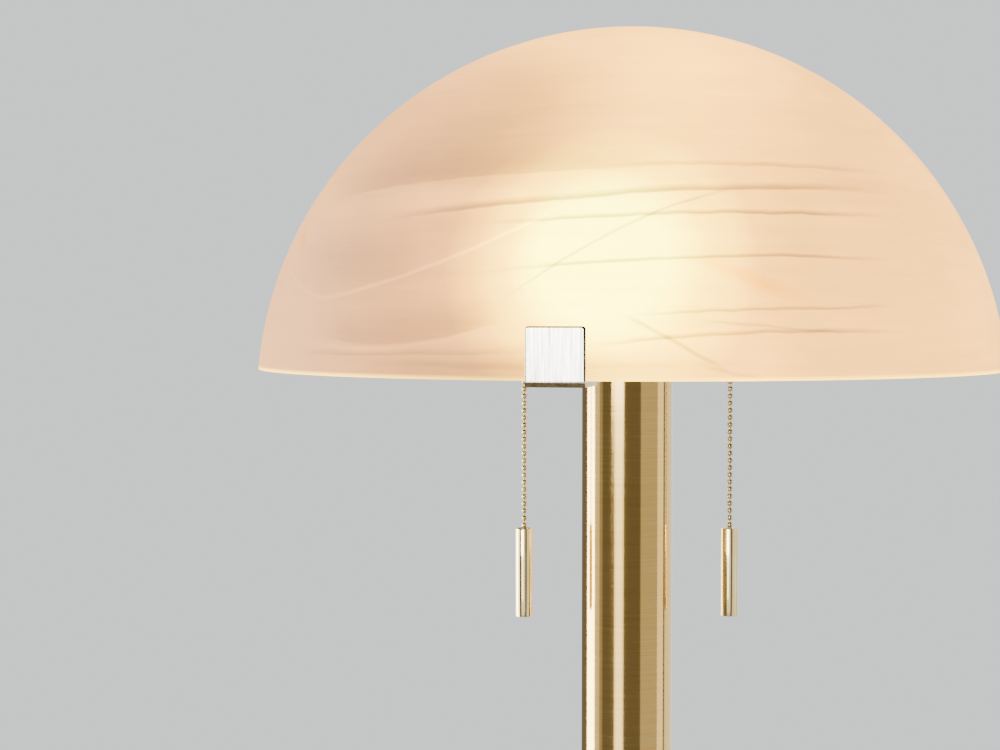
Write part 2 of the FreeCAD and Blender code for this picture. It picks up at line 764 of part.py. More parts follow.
def return_springs():
    """Flat spiral spring beside each drum, built from half circles that widen turn by turn."""
    strip, y0, depth = 0.3, -6.2, 2.6
    start, step, halves = AXLE_R, 0.45, 13
    edges_in, edges_out = [], []
    for lane, edges in ((0.0, edges_in), (strip, edges_out)):
        centre, radius = 0.0, start + lane
        for k in range(halves):
            sense = 1 if k % 2 == 0 else -1
            begin = V(centre - sense * radius, y0, 0)
            middle = V(centre, y0, sense * radius)
            finish = V(centre + sense * radius, y0, 0)
            edges.append(Part.Arc(begin, middle, finish).toShape())
            centre -= sense * step / 2
            radius += step / 2
    ends = [edges_in[0].Vertexes[0].Point, edges_out[0].Vertexes[0].Point]
    tails = [edges_in[-1].Vertexes[-1].Point, edges_out[-1].Vertexes[-1].Point]
    closing = [Part.LineSegment(*ends).toShape(), Part.LineSegment(*tails).toShape()]
    outline = Part.Wire(Part.__sortEdges__(edges_in + edges_out + closing))
    spring = Part.Face(outline).extrude(V(0, depth, 0))
    spring.translate(V(DRUM_X, 0, DRUM_Z))
    return Part.makeCompound([sided(spring, sign) for _, sign in SIDES])


# ---------------------------------------------------------------- chains and pulls

LINK_R = 0.45


def beads(highest, count, pin_top, pin_bottom):
    """A run of beads threaded on one pin, from the highest bead's centre down."""
    balls = [Part.makeSphere(BEAD_R, V(CHAIN_X, 0, highest - k * BEAD_PITCH)) for k in range(count)]
    return fused([cyl(LINK_R, pin_bottom, pin_top, CHAIN_X)] + balls)


def chain_upper(sign):
    """The stretch of chain from the drum to the bell, which only slides."""
    lowest = PIVOT_Z + BEAD_PITCH
    highest = PIVOT_Z + UPPER_BEADS * BEAD_PITCH
    return sided(beads(highest, UPPER_BEADS, highest, lowest - BEAD_R - 0.25), sign)


def chain_pivot_bead(sign):
    """The bead in the bell's throat, about which the hanging chain swings."""
    return sided(Part.makeSphere(BEAD_R, V(CHAIN_X, 0, PIVOT_Z)), sign)


def chain_lower(sign):
    """The hanging stretch. Its last bead is held in the pull's top hole."""
    highest = PIVOT_Z - BEAD_PITCH
    count = LOWER_BEADS + 1
    lowest = PIVOT_Z - count * BEAD_PITCH
    return sided(beads(highest, count, highest + BEAD_R + 0.25, lowest), sign)


def chain_pull(sign):
    """Solid turned brass pull with a blind hole for the chain's last bead."""
    bottom = PULL_TOP - PULL_L
    rod = cyl(PULL_R, bottom, PULL_TOP, CHAIN_X)
    rod = rod.makeFillet(0.35, [e for e in rod.Edges if e.BoundBox.ZLength < 0.01])
    hole = cyl(BEAD_R + 0.06, PULL_TOP - 4.4, PULL_TOP + 1, CHAIN_X)
    return sided(rod.cut(hole), sign)


# ---------------------------------------------------------------- all nodes

SINGLE = (
    base_foot_pad,
    base_cover,
    base_weight,
    base_fasteners,
    cord_gland,
    column_foot_ring,
    column_bottom_plug,
    column_lower_tube,
    column_joiner,
    column_upper_tube,
    column_cap,
    tie_pipe_lower,
    pipe_coupling,
    tie_pipe_upper,
    shade_holder,
    shade_pads,
    holder_fasteners,
    glass_shade,
    cluster_spacer,
    switch_bar,
    cluster_body,
    cluster_lid,
    cluster_nuts,
    cluster_nipples,
    wire_connectors,
    cluster_leads,
    socket_sleeves,
    socket_blocks,
    terminal_screws,
    socket_contacts,
    switch_lids,
    switch_nozzles,
    drum_axles,
    return_springs,
)
PER_END = (socket_cap, socket_shell, screw_shell, bulb_cap, bulb_collar, bulb_globe)
PER_SIDE = (
    switch_housing,
    chain_bell,
    chain_drum,
    chain_upper,
    chain_pivot_bead,
    chain_lower,
    chain_pull,
)


def main():
    os.makedirs("parts", exist_ok=True)
    nodes = {make.__name__: make() for make in SINGLE}
    for makers, places in ((PER_END, ENDS), (PER_SIDE, SIDES)):
        for make in makers:
            for place, sign in places:
                nodes[f"{place}_{make.__name__}"] = make(sign)
    for name, shape in nodes.items():
        if not shape.isValid() or not all(s.Volume > 0 for s in shape.Solids):
            raise ValueError(f"{name} isn't a valid solid")
        shape.exportStep(f"parts/{name}.step")
    print(len(nodes), "nodes; pivot at", round(PIVOT_Z, 3), "rim at", RIM_Z, "rim radius", round(RIM_R, 3))


main()
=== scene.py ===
"""Looks of a floor lamp: a glass dome veined like alabaster, a brushed brass column and two pull chains.

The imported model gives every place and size. Metres, +Z up, the lamp's front towards -Y.
"""

import json
import math

import bpy
from mathutils import Matrix, Vector


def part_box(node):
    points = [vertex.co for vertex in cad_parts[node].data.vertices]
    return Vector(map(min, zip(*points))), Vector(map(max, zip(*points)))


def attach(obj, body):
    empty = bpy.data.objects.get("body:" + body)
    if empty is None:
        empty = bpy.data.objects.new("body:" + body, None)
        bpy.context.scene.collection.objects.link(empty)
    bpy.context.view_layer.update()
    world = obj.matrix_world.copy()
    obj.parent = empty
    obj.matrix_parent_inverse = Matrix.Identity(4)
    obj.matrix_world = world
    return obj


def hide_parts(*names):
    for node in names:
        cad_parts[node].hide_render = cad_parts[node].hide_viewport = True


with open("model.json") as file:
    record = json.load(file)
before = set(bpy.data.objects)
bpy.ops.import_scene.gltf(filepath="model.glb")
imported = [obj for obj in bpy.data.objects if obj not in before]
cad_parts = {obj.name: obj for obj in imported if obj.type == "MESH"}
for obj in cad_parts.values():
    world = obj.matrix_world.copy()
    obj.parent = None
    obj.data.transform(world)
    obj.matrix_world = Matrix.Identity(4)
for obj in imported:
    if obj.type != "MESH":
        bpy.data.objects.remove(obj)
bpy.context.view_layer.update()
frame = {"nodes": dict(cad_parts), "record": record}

MM = 0.001

# ---------------------------------------------------------------- sizes read from the frame

glass_low, glass_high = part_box("glass_shade")
RIM_Z, TOP_Z, RIM_R = glass_low.z, glass_high.z, glass_high.x
SHADE_R = (RIM_R**2 + (TOP_Z - RIM_Z) ** 2) / (2 * (TOP_Z - RIM_Z))
SPHERE_Z = TOP_Z - SHADE_R
GLASS_T = 4.3 * MM

BULB_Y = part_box("back_bulb_globe")[1].y - 25.0 * MM  # lamp axis to the middle of a globe
SOCKET_Z = 0.5 * (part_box("back_bulb_globe")[0].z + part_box("back_bulb_globe")[1].z)
COLUMN_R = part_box("column_upper_tube")[1].x

SIDES = (("left", -1), ("right", 1))
SLOTS = {row["node"]: row["material_slot"] for row in frame["record"]["subparts"]}
STRAP_T = 2.4 * MM
ARM_W, TAB_W = 16.0 * MM, 27.2 * MM
HOLDER_TOP = RIM_Z - 0.5 * MM  # the pads are this thick
TAB_OUT = RIM_R + 0.8 * MM + STRAP_T  # lamp axis to the outer face of a tab
ARM_TURNS = tuple(math.radians(turn) for turn in (-104.0, 16.0, 136.0))
VIEW_TURN = math.radians(-5.0)  # where the viewer stands, round from the front, positive towards +X


# ---------------------------------------------------------------- modelling helpers


def deselect():
    """Object mode with nothing selected."""
    if bpy.context.object and bpy.context.object.mode != "OBJECT":
        bpy.ops.object.mode_set(mode="OBJECT")
    bpy.ops.object.select_all(action="DESELECT")


def settled(name):
    """Names the new primitive and puts its place into its mesh."""
    piece = bpy.context.object
    piece.name = name
    piece.data.name = name
    bpy.ops.object.transform_apply(location=True, rotation=True, scale=True)
    return piece


def edit(piece, kind="FACE"):
    """Edit mode on one piece, with all of it selected."""
    deselect()
    piece.select_set(True)
    bpy.context.view_layer.objects.active = piece
    bpy.ops.object.mode_set(mode="EDIT")
    bpy.ops.mesh.select_mode(type=kind)
    bpy.ops.mesh.select_all(action="SELECT")


def done():
    """Back to object mode."""
    bpy.ops.object.mode_set(mode="OBJECT")


def pick_faces(piece, wanted):
    """Edit mode with the faces selected whose (centre, normal) pass the test."""
    edit(piece, "FACE")
    bpy.ops.mesh.select_all(action="DESELECT")
    done()
    for face in piece.data.polygons:
        face.select = wanted(face.center, face.normal)
    bpy.ops.object.mode_set(mode="EDIT")


def pick_edges(piece, wanted):
    """Edit mode with the edges selected whose two end points pass the test."""
    edit(piece, "EDGE")
    bpy.ops.mesh.select_all(action="DESELECT")
    done()
    points = [v.co for v in piece.data.vertices]
    for edge in piece.data.edges:
        a, b = edge.vertices
        edge.select = wanted(points[a], points[b])
    bpy.ops.object.mode_set(mode="EDIT")


def modify(piece, kind, **settings):
    """Adds one modifier and applies it."""
    deselect()
    piece.select_set(True)
    bpy.context.view_layer.objects.active = piece
    modifier = piece.modifiers.new(kind.lower(), kind)
    for key, value in settings.items():
        setattr(modifier, key, value)
    bpy.ops.object.modifier_apply(modifier=modifier.name)


def soften(piece, width, segments=2, angle=30):
    """Small rounded edges all over."""
    limit = math.radians(angle)
    modify(piece, "BEVEL", width=width, segments=segments, limit_method="ANGLE", angle_limit=limit)


def smooth(piece, angle=32):
    """Smooth shading across every edge flatter than the angle."""
    deselect()
    piece.select_set(True)
    bpy.context.view_layer.objects.active = piece
    bpy.ops.object.shade_smooth_by_angle(angle=math.radians(angle))
    return piece


def outward(piece):
    """Merges doubled points and turns all faces outwards."""
    edit(piece)
    bpy.ops.mesh.remove_doubles(threshold=1e-6)
    bpy.ops.mesh.normals_make_consistent(inside=False)
    done()


def arc(centre_r, centre_z, radius, start, end, steps=6):
    """Points (radius, height) on an arc of an outline. Angles in degrees, from outwards to up."""
    angles = [math.radians(start + (end - start) * k / steps) for k in range(steps + 1)]
    return [(centre_r + radius * math.cos(a), centre_z + radius * math.sin(a)) for a in angles]


def turned(name, outline, sides=64, at=(0.0, 0.0)):
    """Turned piece: a ring that is extruded and resized along an outline of (radius, height)."""
    deselect()
    radius, height = outline[0]
    flat_start = radius < 1e-7
    if flat_start:
        outline = outline[1:]
        radius, height = outline[0]
    fill = "NGON" if flat_start else "NOTHING"
    place = (at[0], at[1], height)
    bpy.ops.mesh.primitive_circle_add(vertices=sides, radius=radius, fill_type=fill, location=place)
    piece = settled(name)
    edit(piece, "EDGE")
    if flat_start:
        bpy.ops.mesh.select_all(action="DESELECT")
        bpy.ops.mesh.select_non_manifold()
    for next_radius, next_height in outline[1:]:
        bpy.ops.mesh.extrude_region_move(TRANSFORM_OT_translate={"value": (0, 0, next_height - height)})
        grow = next_radius / radius
        bpy.ops.transform.resize(value=(grow, grow, 1), center_override=(at[0], at[1], next_height))
        if next_radius < 1e-7:
            bpy.ops.mesh.merge(type="CENTER")
            break
        radius, height = next_radius, next_height
    done()
    outward(piece)
    return piece


def set_down(piece, move=(0, 0, 0), turn=(0, 0, 0)):
    """Moves and turns a finished piece, and puts its place into its mesh."""
    deselect()
    piece.select_set(True)
    bpy.context.view_layer.objects.active = piece
    piece.location = move
    piece.rotation_euler = turn
    bpy.ops.object.transform_apply(location=True, rotation=True, scale=True)
    return piece


def joined(pieces, name):
    """Several pieces as one."""
    deselect()
    for piece in pieces:
        piece.select_set(True)
    bpy.context.view_layer.objects.active = pieces[0]
    bpy.ops.object.join()
    whole = bpy.context.object
    whole.name = name
    whole.data.name = name
    return whole


def copied(piece, name, move=(0, 0, 0), turn=0.0):
    """Copy with a mesh of its own, moved, and turned about the lamp's axis."""
    deselect()
    piece.select_set(True)
    bpy.context.view_layer.objects.active = piece
    bpy.ops.object.duplicate(linked=False)
    twin = bpy.context.object
    twin.name = name
    twin.data.name = name
    return set_down(twin, move, (0, 0, turn))


def shown(piece, body, slot, finish, *nodes):
    """Gives a finished piece its material, its body and the CAD nodes that it stands for."""
    if finish:
        piece.data.materials.clear()
        piece.data.materials.append(finish)
    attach(piece, body)
    if nodes:
        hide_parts(*nodes)
    return piece


# ---------------------------------------------------------------- material helpers


class Finish:
    """A material being made: a Principled shader, and short ways to add nodes in front of it."""

    def __init__(self, name, **sockets):
        self.material = bpy.data.materials.new(name)
        self.material.use_nodes = True
        self.tree = self.material.node_tree
        self.shader = self.tree.nodes["Principled BSDF"]
        for socket, value in sockets.items():
            self.set(socket.replace("_", " ").title().replace("Ior", "IOR"), value)
        self.place = self.tree.nodes.new("ShaderNodeTexCoord").outputs["Object"]

    def set(self, socket, value):
        self.feed(value, self.shader.inputs[socket])

    def feed(self, value, socket):
        if isinstance(value, bpy.types.NodeSocket):
            self.tree.links.new(value, socket)
        elif isinstance(value, tuple) and len(value) == 3 and socket.type == "RGBA":
            socket.default_value = (*value, 1.0)
        else:
            socket.default_value = value

    def node(self, kind, inputs=(), **settings):
        made = self.tree.nodes.new("ShaderNode" + kind)
        for key, value in settings.items():
            setattr(made, key, value)
        for key, value in dict(inputs).items():
            self.feed(value, made.inputs[key])
        return made

    def math(self, operation, *values, clamp=False):
        made = self.node("Math", operation=operation, use_clamp=clamp)
        for socket, value in zip(made.inputs, values):
            self.feed(value, socket)
        return made.outputs[0]

    def vector(self, operation, *values):
        made = self.node("VectorMath", operation=operation)
        for socket, value in zip(made.inputs, values):
            self.feed(value, socket)
        plain = operation in ("DOT_PRODUCT", "LENGTH", "DISTANCE")
        return made.outputs["Value" if plain else "Vector"]

    def scaled(self, x, y, z, shift=(0, 0, 0)):
        """Object coordinates, stretched by different amounts along each axis."""
        made = self.node("Mapping", {"Vector": self.place, "Location": shift, "Scale": (x, y, z)})
        return made.outputs[0]

    def noise(self, where, scale=1.0, detail=2.0, roughness=0.5, distortion=0.0):
        inputs = {"Vector": where, "Scale": scale, "Detail": detail}
        inputs.update({"Roughness": roughness, "Distortion": distortion})
        return self.node("TexNoise", inputs).outputs["Fac"]

    def spread(self, value, low, high, to_low=0.0, to_high=1.0, smooth_ends=False):
        """Maps low..high to to_low..to_high, held at the ends."""
        kind = "SMOOTHSTEP" if smooth_ends else "LINEAR"
        made = self.node("MapRange", interpolation_type=kind)
        for key, number in zip(range(5), (value, low, high, to_low, to_high)):
            self.feed(number, made.inputs[key])
        return made.outputs[0]

    def ramp(self, value, stops):
        made = self.node("ValToRGB", {"Fac": value})
        elements = made.color_ramp.elements
        while len(elements) < len(stops):
            elements.new(0.5)
        for element, (at, color) in zip(elements, stops):
            element.position = at
            element.color = (*color, 1.0)
        return made.outputs["Color"]

    def blend(self, amount, first, second, mode="MIX"):
        made = self.node("Mix", data_type="RGBA", blend_type=mode)
        for key, value in ((0, amount), (6, first), (7, second)):
            self.feed(value, made.inputs[key])
        return made.outputs[2]

    def triple(self, first, second, third):
        """Three values as one colour."""
        return self.node("CombineXYZ", {0: first, 1: second, 2: third}).outputs[0]

    def oval(self, wide, tall):
        """Distance from the middle of an oval patch, 1 at its edge."""
        squares = self.math("POWER", wide, 2.0), self.math("POWER", tall, 2.0)
        return self.math("SQRT", self.math("ADD", *squares))

    def bump(self, height, strength, depth):
        inputs = {"Height": height, "Strength": strength, "Distance": depth}
        self.set("Normal", self.node("Bump", inputs).outputs[0])


BRASS = (0.82, 0.56, 0.19)
BRASS_DEEP = (0.74, 0.46, 0.12)


def brushed_brass(name, lines, tangent_turn=0.0, anisotropy=0.85, roughness=0.25):
    """Brass with fine satin lines. lines scales the coordinates: a large number runs across the lines."""
    finish = Finish(name, metallic=1.0, anisotropic=anisotropy, anisotropic_rotation=tangent_turn)
    fine = finish.noise(finish.scaled(*lines), 1.0, 3.0, 0.7)
    broad = finish.noise(finish.scaled(9, 9, 5), 1.0, 2.0)
    fine_share = finish.spread(fine, 0.3, 0.7, 0.0, 0.75)
    tone = finish.math("ADD", fine_share, finish.spread(broad, 0.3, 0.7, 0.0, 0.25))
    finish.set("Base Color", finish.ramp(tone, ((0.2, BRASS_DEEP), (0.85, BRASS))))
    finish.set("Roughness", finish.spread(fine, 0.25, 0.75, roughness - 0.04, roughness + 0.06))
    finish.bump(fine, 0.03, 0.00002)
    if anisotropy:
        tangent = finish.node("Tangent", direction_type="RADIAL", axis="Z")
        finish.set("Tangent", tangent.outputs[0])
    return finish.material


def column_brass():
    """Brushed round and round, so that reflections stretch up and down and keep crisp sides."""
    lines = (30, 30, 2600)
    return brushed_brass("column brushed brass", lines, tangent_turn=0.25, anisotropy=0.6, roughness=0.11)


def plain_brass():
    """Satin brass with no direction to its grain, for small fittings."""
    return brushed_brass("satin brass fittings", (700, 700, 700), anisotropy=0.0, roughness=0.3)


def polished_brass(name, deep, bright, roughness):
    """Bright brass with faint handling marks."""
    finish = Finish(name, metallic=1.0)
    marks = finish.noise(finish.scaled(160, 160, 60), 1.0, 4.0, 0.65)
    finish.set("Base Color", finish.ramp(marks, ((0.3, deep), (0.7, bright))))
    finish.set("Roughness", finish.spread(marks, 0.35, 0.75, roughness, roughness + 0.09))
    finish.bump(marks, 0.04, 0.00005)
    return finish.material


def lathe_brass():
    """Brass faced on a lathe, with fine rings about the lamp's axis."""
    finish = Finish("base lathe-turned brass", metallic=1.0, anisotropic=0.6, anisotropic_rotation=0.25)
    x, y, z = finish.node("SeparateXYZ", {"Vector": finish.place}).outputs
    flat = finish.node("CombineXYZ", {"X": x, "Y": y}).outputs[0]
    radius = finish.vector("LENGTH", flat)
    out, up = finish.math("MULTIPLY", radius, 2400.0), finish.math("MULTIPLY", z, 900.0)
    rings = finish.noise(finish.node("CombineXYZ", {"X": out, "Y": up}).outputs[0], 1.0, 3.0, 0.7)
    finish.set("Base Color", finish.ramp(rings, ((0.3, BRASS_DEEP), (0.7, BRASS))))
    finish.set("Roughness", finish.spread(rings, 0.25, 0.75, 0.2, 0.32))
    finish.bump(rings, 0.12, 0.00003)
    finish.set("Tangent", finish.node("Tangent", direction_type="RADIAL", axis="Z").outputs[0])
    return finish.material


def tab_face_painted_highlight():
    """Face of a tab, ground with an upright grain; its near-white colour is a painted highlight that stands
    in for the bright reflection off the brass.
    """
    finish = Finish("tab face upright grain painted highlight", metallic=1.0)
    grain = finish.noise(finish.scaled(1000, 1000, 40), 1.0, 3.0, 0.75)
    finish.set("Base Color", finish.ramp(grain, ((0.34, (0.56, 0.52, 0.43)), (0.6, (0.99, 0.94, 0.85)))))
    finish.set("Roughness", finish.spread(grain, 0.3, 0.7, 0.3, 0.16))
    finish.bump(grain, 0.15, 0.00005)
    return finish.material


def moulded(name, color, roughness=0.5, grain=900, relief=0.15):
    """Moulded or cast stuff: a mottled colour and a fine uneven skin."""
    finish = Finish(name)
    skin = finish.noise(finish.scaled(grain, grain, grain), 1.0, 4.0, 0.6)
    cloud = finish.noise(finish.scaled(40, 40, 40), 1.0, 2.0)
    dark = tuple(c * 0.82 for c in color)
    tone = finish.math("ADD", finish.math("MULTIPLY", skin, 0.5), finish.math("MULTIPLY", cloud, 0.5))
    finish.set("Base Color", finish.ramp(tone, ((0.35, dark), (0.65, color))))
    finish.set("Roughness", finish.spread(skin, 0.3, 0.7, roughness - 0.07, roughness + 0.07))
    finish.bump(skin, relief, 0.0001)
    return finish.material


def plated(name, color, roughness=0.25):
    """Plated steel or nickel with a faint mottle."""
    finish = Finish(name, metallic=1.0)
    mottle = finish.noise(finish.scaled(300, 300, 300), 1.0, 4.0, 0.6)
    dark = tuple(c * 0.88 for c in color)
    finish.set("Base Color", finish.ramp(mottle, ((0.35, dark), (0.65, color))))
    finish.set("Roughness", finish.spread(mottle, 0.3, 0.7, roughness - 0.06, roughness + 0.08))
    finish.bump(mottle, 0.05, 0.00005)
    return finish.material


# ---------------------------------------------------------------- glass of the dome

GLOW_STRENGTH = 13.0
GLOW_COLORS = (  # dim to bright, as shares of the strength
    (0.00, (0.114, 0.049, 0.018)),
    (0.25, (0.230, 0.100, 0.022)),
    (0.50, (0.415, 0.190, 0.018)),
    (0.76, (0.690, 0.400, 0.010)),
    (0.95, (0.990, 0.820, 0.036)),
)
GLOW_HEIGHT = 29.0 * MM  # rim to the bright core of the front bulb
GLOW_TURN = math.radians(-8.8)  # the bright spot's place round the dome, from the front towards +X

# Veins that cross the front, in mm: height above the rim at the left end, in the middle and at the right
# end; the two ends, across the front; how far each one fades upwards and downwards; and its strength,
# dark above 0 and light below.
VEINS = (
    (87, 95, 98, -165, 30, 20.0, 1.0, 0.30),
    (98, 99, 97, -20, 130, 2.4, 0.8, 0.30),
    (73, 85, 88, -125, 130, 3.4, 1.0, 0.55),
    (71, 75, 76, -75, 130, 2.0, 0.9, 0.54),
    (48, 55, 55, -72, 130, 1.6, 0.9, 0.52),
    (30, 68, 89, -64, 56, 1.1, 1.1, 0.42),
    (35, 53, 86, -160, -18, 1.5, 1.5, -0.34),
    (56, 41, 38, -176, -142, 1.6, 1.6, -0.16),
    (21, 17, 30, -155, -50, 16.0, 1.2, 0.24),
    (19, 15, 28, -165, -50, 0.4, 4.0, -0.12),
    (32, 18, 3, -6, 46, 1.7, 1.7, 0.40),
    (8, 3, 1, 30, 62, 1.5, 1.5, 0.22),
    (29, 32, 33, -6, 130, 1.3, 0.9, 0.44),
    (15, 21, 21, -26, 130, 2.0, 0.9, 0.46),
    (27, 24, 21, 28, 100, 1.2, 1.0, 0.28),
    (11, 11, 13, -170, -35, 2.8, 0.9, 0.24),
    (7, 6, 8, -140, 60, 3.0, 1.6, 0.18),
)

# Soft clouds on the front: across, height above the rim, half width, half height (mm), strength.
CLOUDS = (
    (-52, 132, 48, 34, 0.28),
    (-85, 108, 50, 20, 0.20),
    (-128, 55, 38, 22, 0.28),
    (-94, 27, 44, 14, 0.20),
    # This low wide cloud is painted shade: it darkens the glass along the rim to the left of and under the
    # front tab.
    (-58, 3, 75, 15, 0.46),
    (75, 45, 22, 60, 0.14),
    (20, 140, 60, 40, -0.10),
    (-80, 84, 45, 8, -0.28),
)

# Amber stains on the front: across, height, half width, half height (mm), lean, strength.
STAINS = (
    (54, 46, 32, 5.5, -0.38, 0.95),
    (-167, 68, 5, 9, 0.0, 0.6),
)


def alabaster_glass():
    """Opal glass, lit from inside by two bulbs, with thin swirled veins, soft clouds and amber stains."""
    finish = Finish("alabaster opal glass", ior=1.5, roughness=0.6, specular_ior_level=0.12)
    x, y, z = finish.node("SeparateXYZ", {"Vector": finish.place}).outputs
    height = finish.math("MULTIPLY", finish.math("SUBTRACT", z, RIM_Z), 1000.0)
    turn = finish.math("MULTIPLY", y, math.sin(VIEW_TURN))
    across = finish.math("MULTIPLY", finish.math("MULTIPLY_ADD", x, math.cos(VIEW_TURN), turn), 1000.0)
    depth = finish.math("MULTIPLY", y, -math.cos(VIEW_TURN))
    depth = finish.math("MULTIPLY_ADD", x, math.sin(VIEW_TURN), depth)
    front = finish.spread(depth, -0.01, 0.05, smooth_ends=True)

    wander = finish.noise(finish.scaled(16, 16, 30), 1.0, 3.0, 0.55)
    ripple = finish.noise(finish.scaled(60, 60, 90, (3, 1, 2)), 1.0, 2.0)
    waver = finish.math("MULTIPLY_ADD", wander, 3.0, finish.math("MULTIPLY", ripple, 1.6))
    level = finish.math("ADD", height, finish.math("SUBTRACT", waver, 2.3))

    tone = front_veins(finish, across, level, front)
    tone = finish.math("MULTIPLY", tone, front_clouds(finish, across, height, front))
    tone = finish.math("MULTIPLY", tone, side_veins(finish, height, front))
    mist = finish.noise(finish.scaled(7, 7, 13, (1, 2, 3)), 1.0, 4.0, 0.55, 0.6)
    tone = finish.math("MULTIPLY", tone, finish.spread(mist, 0.3, 0.7, 0.86, 1.1))
    streaks = finish.noise(finish.scaled(12, 12, 260), 1.0, 3.0, 0.6)
    tone = finish.math("MULTIPLY", tone, finish.spread(streaks, 0.3, 0.7, 0.95, 1.04))

    light = bulb_light(finish, across, front)
    glow = finish.ramp(light, GLOW_COLORS)
    # Painted light: the glow is raised towards a bright level along the lowest 2 mm of the glass, for light
    # coming out through the ground rim.
    edge = finish.spread(height, 0.3, 2.2, 1.0, 0.0)
    glow = finish.blend(finish.math("MULTIPLY", edge, 0.75), glow, GLOW_COLORS[3][1])
    pale = finish.math("POWER", tone, 0.5)
    glow = finish.blend(1.0, glow, finish.triple(tone, tone, pale), "MULTIPLY")
    blotches = front_stains(finish, across, height, front)
    glow = finish.blend(blotches, glow, finish.blend(1.0, glow, (0.95, 0.80, 0.08), "MULTIPLY"))
    body = finish.blend(blotches, (0.38, 0.26, 0.17), (0.34, 0.2, 0.06))
    body = finish.blend(1.0, body, finish.triple(tone, tone, tone), "MULTIPLY")
    finish.set("Base Color", body)
    finish.set("Emission Color", glow)
    finish.set("Emission Strength", GLOW_STRENGTH)
    finish.bump(streaks, 0.03, 0.0002)
    return finish.material


def bulb_light(finish, across, front):
    """How strongly the glass is lit, 1 at the bright spot: each bulb's own light over a weaker even one."""
    centre = Vector((0, 0, SPHERE_Z))
    normal = finish.vector("NORMALIZE", finish.vector("SUBTRACT", finish.place, centre))
    total = None
    for turn in (GLOW_TURN, GLOW_TURN + math.pi):
        bulb = Vector((BULB_Y * math.sin(turn), -BULB_Y * math.cos(turn), RIM_Z + GLOW_HEIGHT))
        ray = finish.vector("SUBTRACT", finish.place, bulb)
        distance = finish.vector("LENGTH", ray)
        facing = finish.math("DIVIDE", finish.vector("DOT_PRODUCT", ray, normal), distance)
        nearest = SHADE_R - math.hypot(BULB_Y, GLOW_HEIGHT + RIM_Z - SPHERE_Z)
        share = finish.math("DIVIDE", nearest, distance)
        share = finish.math("MULTIPLY", finish.math("POWER", share, 2.0), facing)
        share = finish.spread(share, 0.52, 0.92)
        total = share if total is None else finish.math("ADD", total, share)
    rise = finish.spread(across, -145.0, 15.0, 0.13, 0.52, smooth_ends=True)
    fall = finish.spread(across, 30.0, 110.0, 0.0, 0.16, smooth_ends=True)
    sideways = finish.math("SUBTRACT", rise, fall)
    even = finish.math("MULTIPLY_ADD", front, finish.math("SUBTRACT", sideways, 0.28), 0.28)
    return finish.math("MULTIPLY_ADD", total, finish.math("SUBTRACT", 1.0, even), even, clamp=True)


def front_veins(finish, across, level, front):
    """Thin veins that cross the front, each a curve through three heights, fading at both ends."""
    total = 1.0
    for left, middle, right, start, end, above, below, strength in VEINS:
        centre, half = 0.5 * (start + end), 0.5 * (end - start)
        bow = 0.5 * (left + right) - middle
        lean = 0.5 * (right - left)
        along = finish.math("DIVIDE", finish.math("SUBTRACT", across, centre), half)
        curve = finish.math("MULTIPLY_ADD", along, bow, lean)
        curve = finish.math("MULTIPLY_ADD", curve, along, middle)
        gap = finish.math("SUBTRACT", level, curve)
        under = finish.spread(gap, -below, 0.0, smooth_ends=True)
        over = finish.spread(gap, 0.2 * above, above, 1.0, 0.0)
        line = finish.math("MULTIPLY", under, over)
        ends = finish.spread(finish.math("ABSOLUTE", along), 0.5, 1.0, 1.0, 0.0, smooth_ends=True)
        line = finish.math("MULTIPLY", finish.math("MULTIPLY", line, ends), front)
        total = finish.math("MULTIPLY", total, finish.math("MULTIPLY_ADD", line, -strength, 1.0))
    return total


def front_clouds(finish, across, height, front):
    """Soft darker or lighter patches on the front."""
    total = 1.0
    for middle, level, half_width, half_height, strength in CLOUDS:
        wide = finish.math("DIVIDE", finish.math("SUBTRACT", across, middle), half_width)
        tall = finish.math("DIVIDE", finish.math("SUBTRACT", height, level), half_height)
        away = finish.oval(wide, tall)
        patch = finish.math("MULTIPLY", finish.spread(away, 0.1, 1.25, 1.0, 0.0, smooth_ends=True), front)
        total = finish.math("MULTIPLY", total, finish.math("MULTIPLY_ADD", patch, -strength, 1.0))
    return total


def side_veins(finish, height, front):
    """Long lazy bands on the sides and the back, sharp below and soft above, with thin veins between."""
    drift = finish.noise(finish.scaled(4, 4, 9, (5, 0, 1)), 1.0, 3.0, 0.45, 0.4)
    layers = finish.math("MULTIPLY_ADD", drift, 90.0, height)
    part = finish.math("FRACT", finish.math("DIVIDE", layers, 47.0))
    band = finish.math("POWER", part, 7.0)
    depth = finish.spread(finish.noise(finish.scaled(6, 6, 20, (0, 4, 2)), 1.0, 2.0), 0.35, 0.65, 0.02, 0.42)
    thread = finish.noise(finish.scaled(5, 5, 22, (2, 7, 4)), 1.0, 2.0, 0.5, 0.5)
    thin = finish.spread(finish.math("ABSOLUTE", finish.math("SUBTRACT", thread, 0.5)), 0.0, 0.012, 1.0, 0.0)
    dark = finish.math("MULTIPLY_ADD", thin, 0.2, finish.math("MULTIPLY", band, depth))
    behind = finish.math("SUBTRACT", 1.0, finish.math("MULTIPLY", front, 0.85))
    return finish.math("MULTIPLY_ADD", dark, finish.math("MULTIPLY", behind, -1.0), 1.0)


def front_stains(finish, across, height, front):
    """Where the amber stains lie, from 0 to 1."""
    total = 0.0
    for middle, level, half_width, half_height, lean, strength in STAINS:
        offset = finish.math("SUBTRACT", across, middle)
        wide = finish.math("DIVIDE", offset, half_width)
        rise = finish.math("MULTIPLY_ADD", offset, -lean, finish.math("SUBTRACT", height, level))
        tall = finish.math("DIVIDE", rise, half_height)
        away = finish.oval(wide, tall)
        patch = finish.spread(away, 0.0, 1.1, strength, 0.0, smooth_ends=True)
        total = finish.math("MAXIMUM", total, finish.math("MULTIPLY", patch, front))
    return total


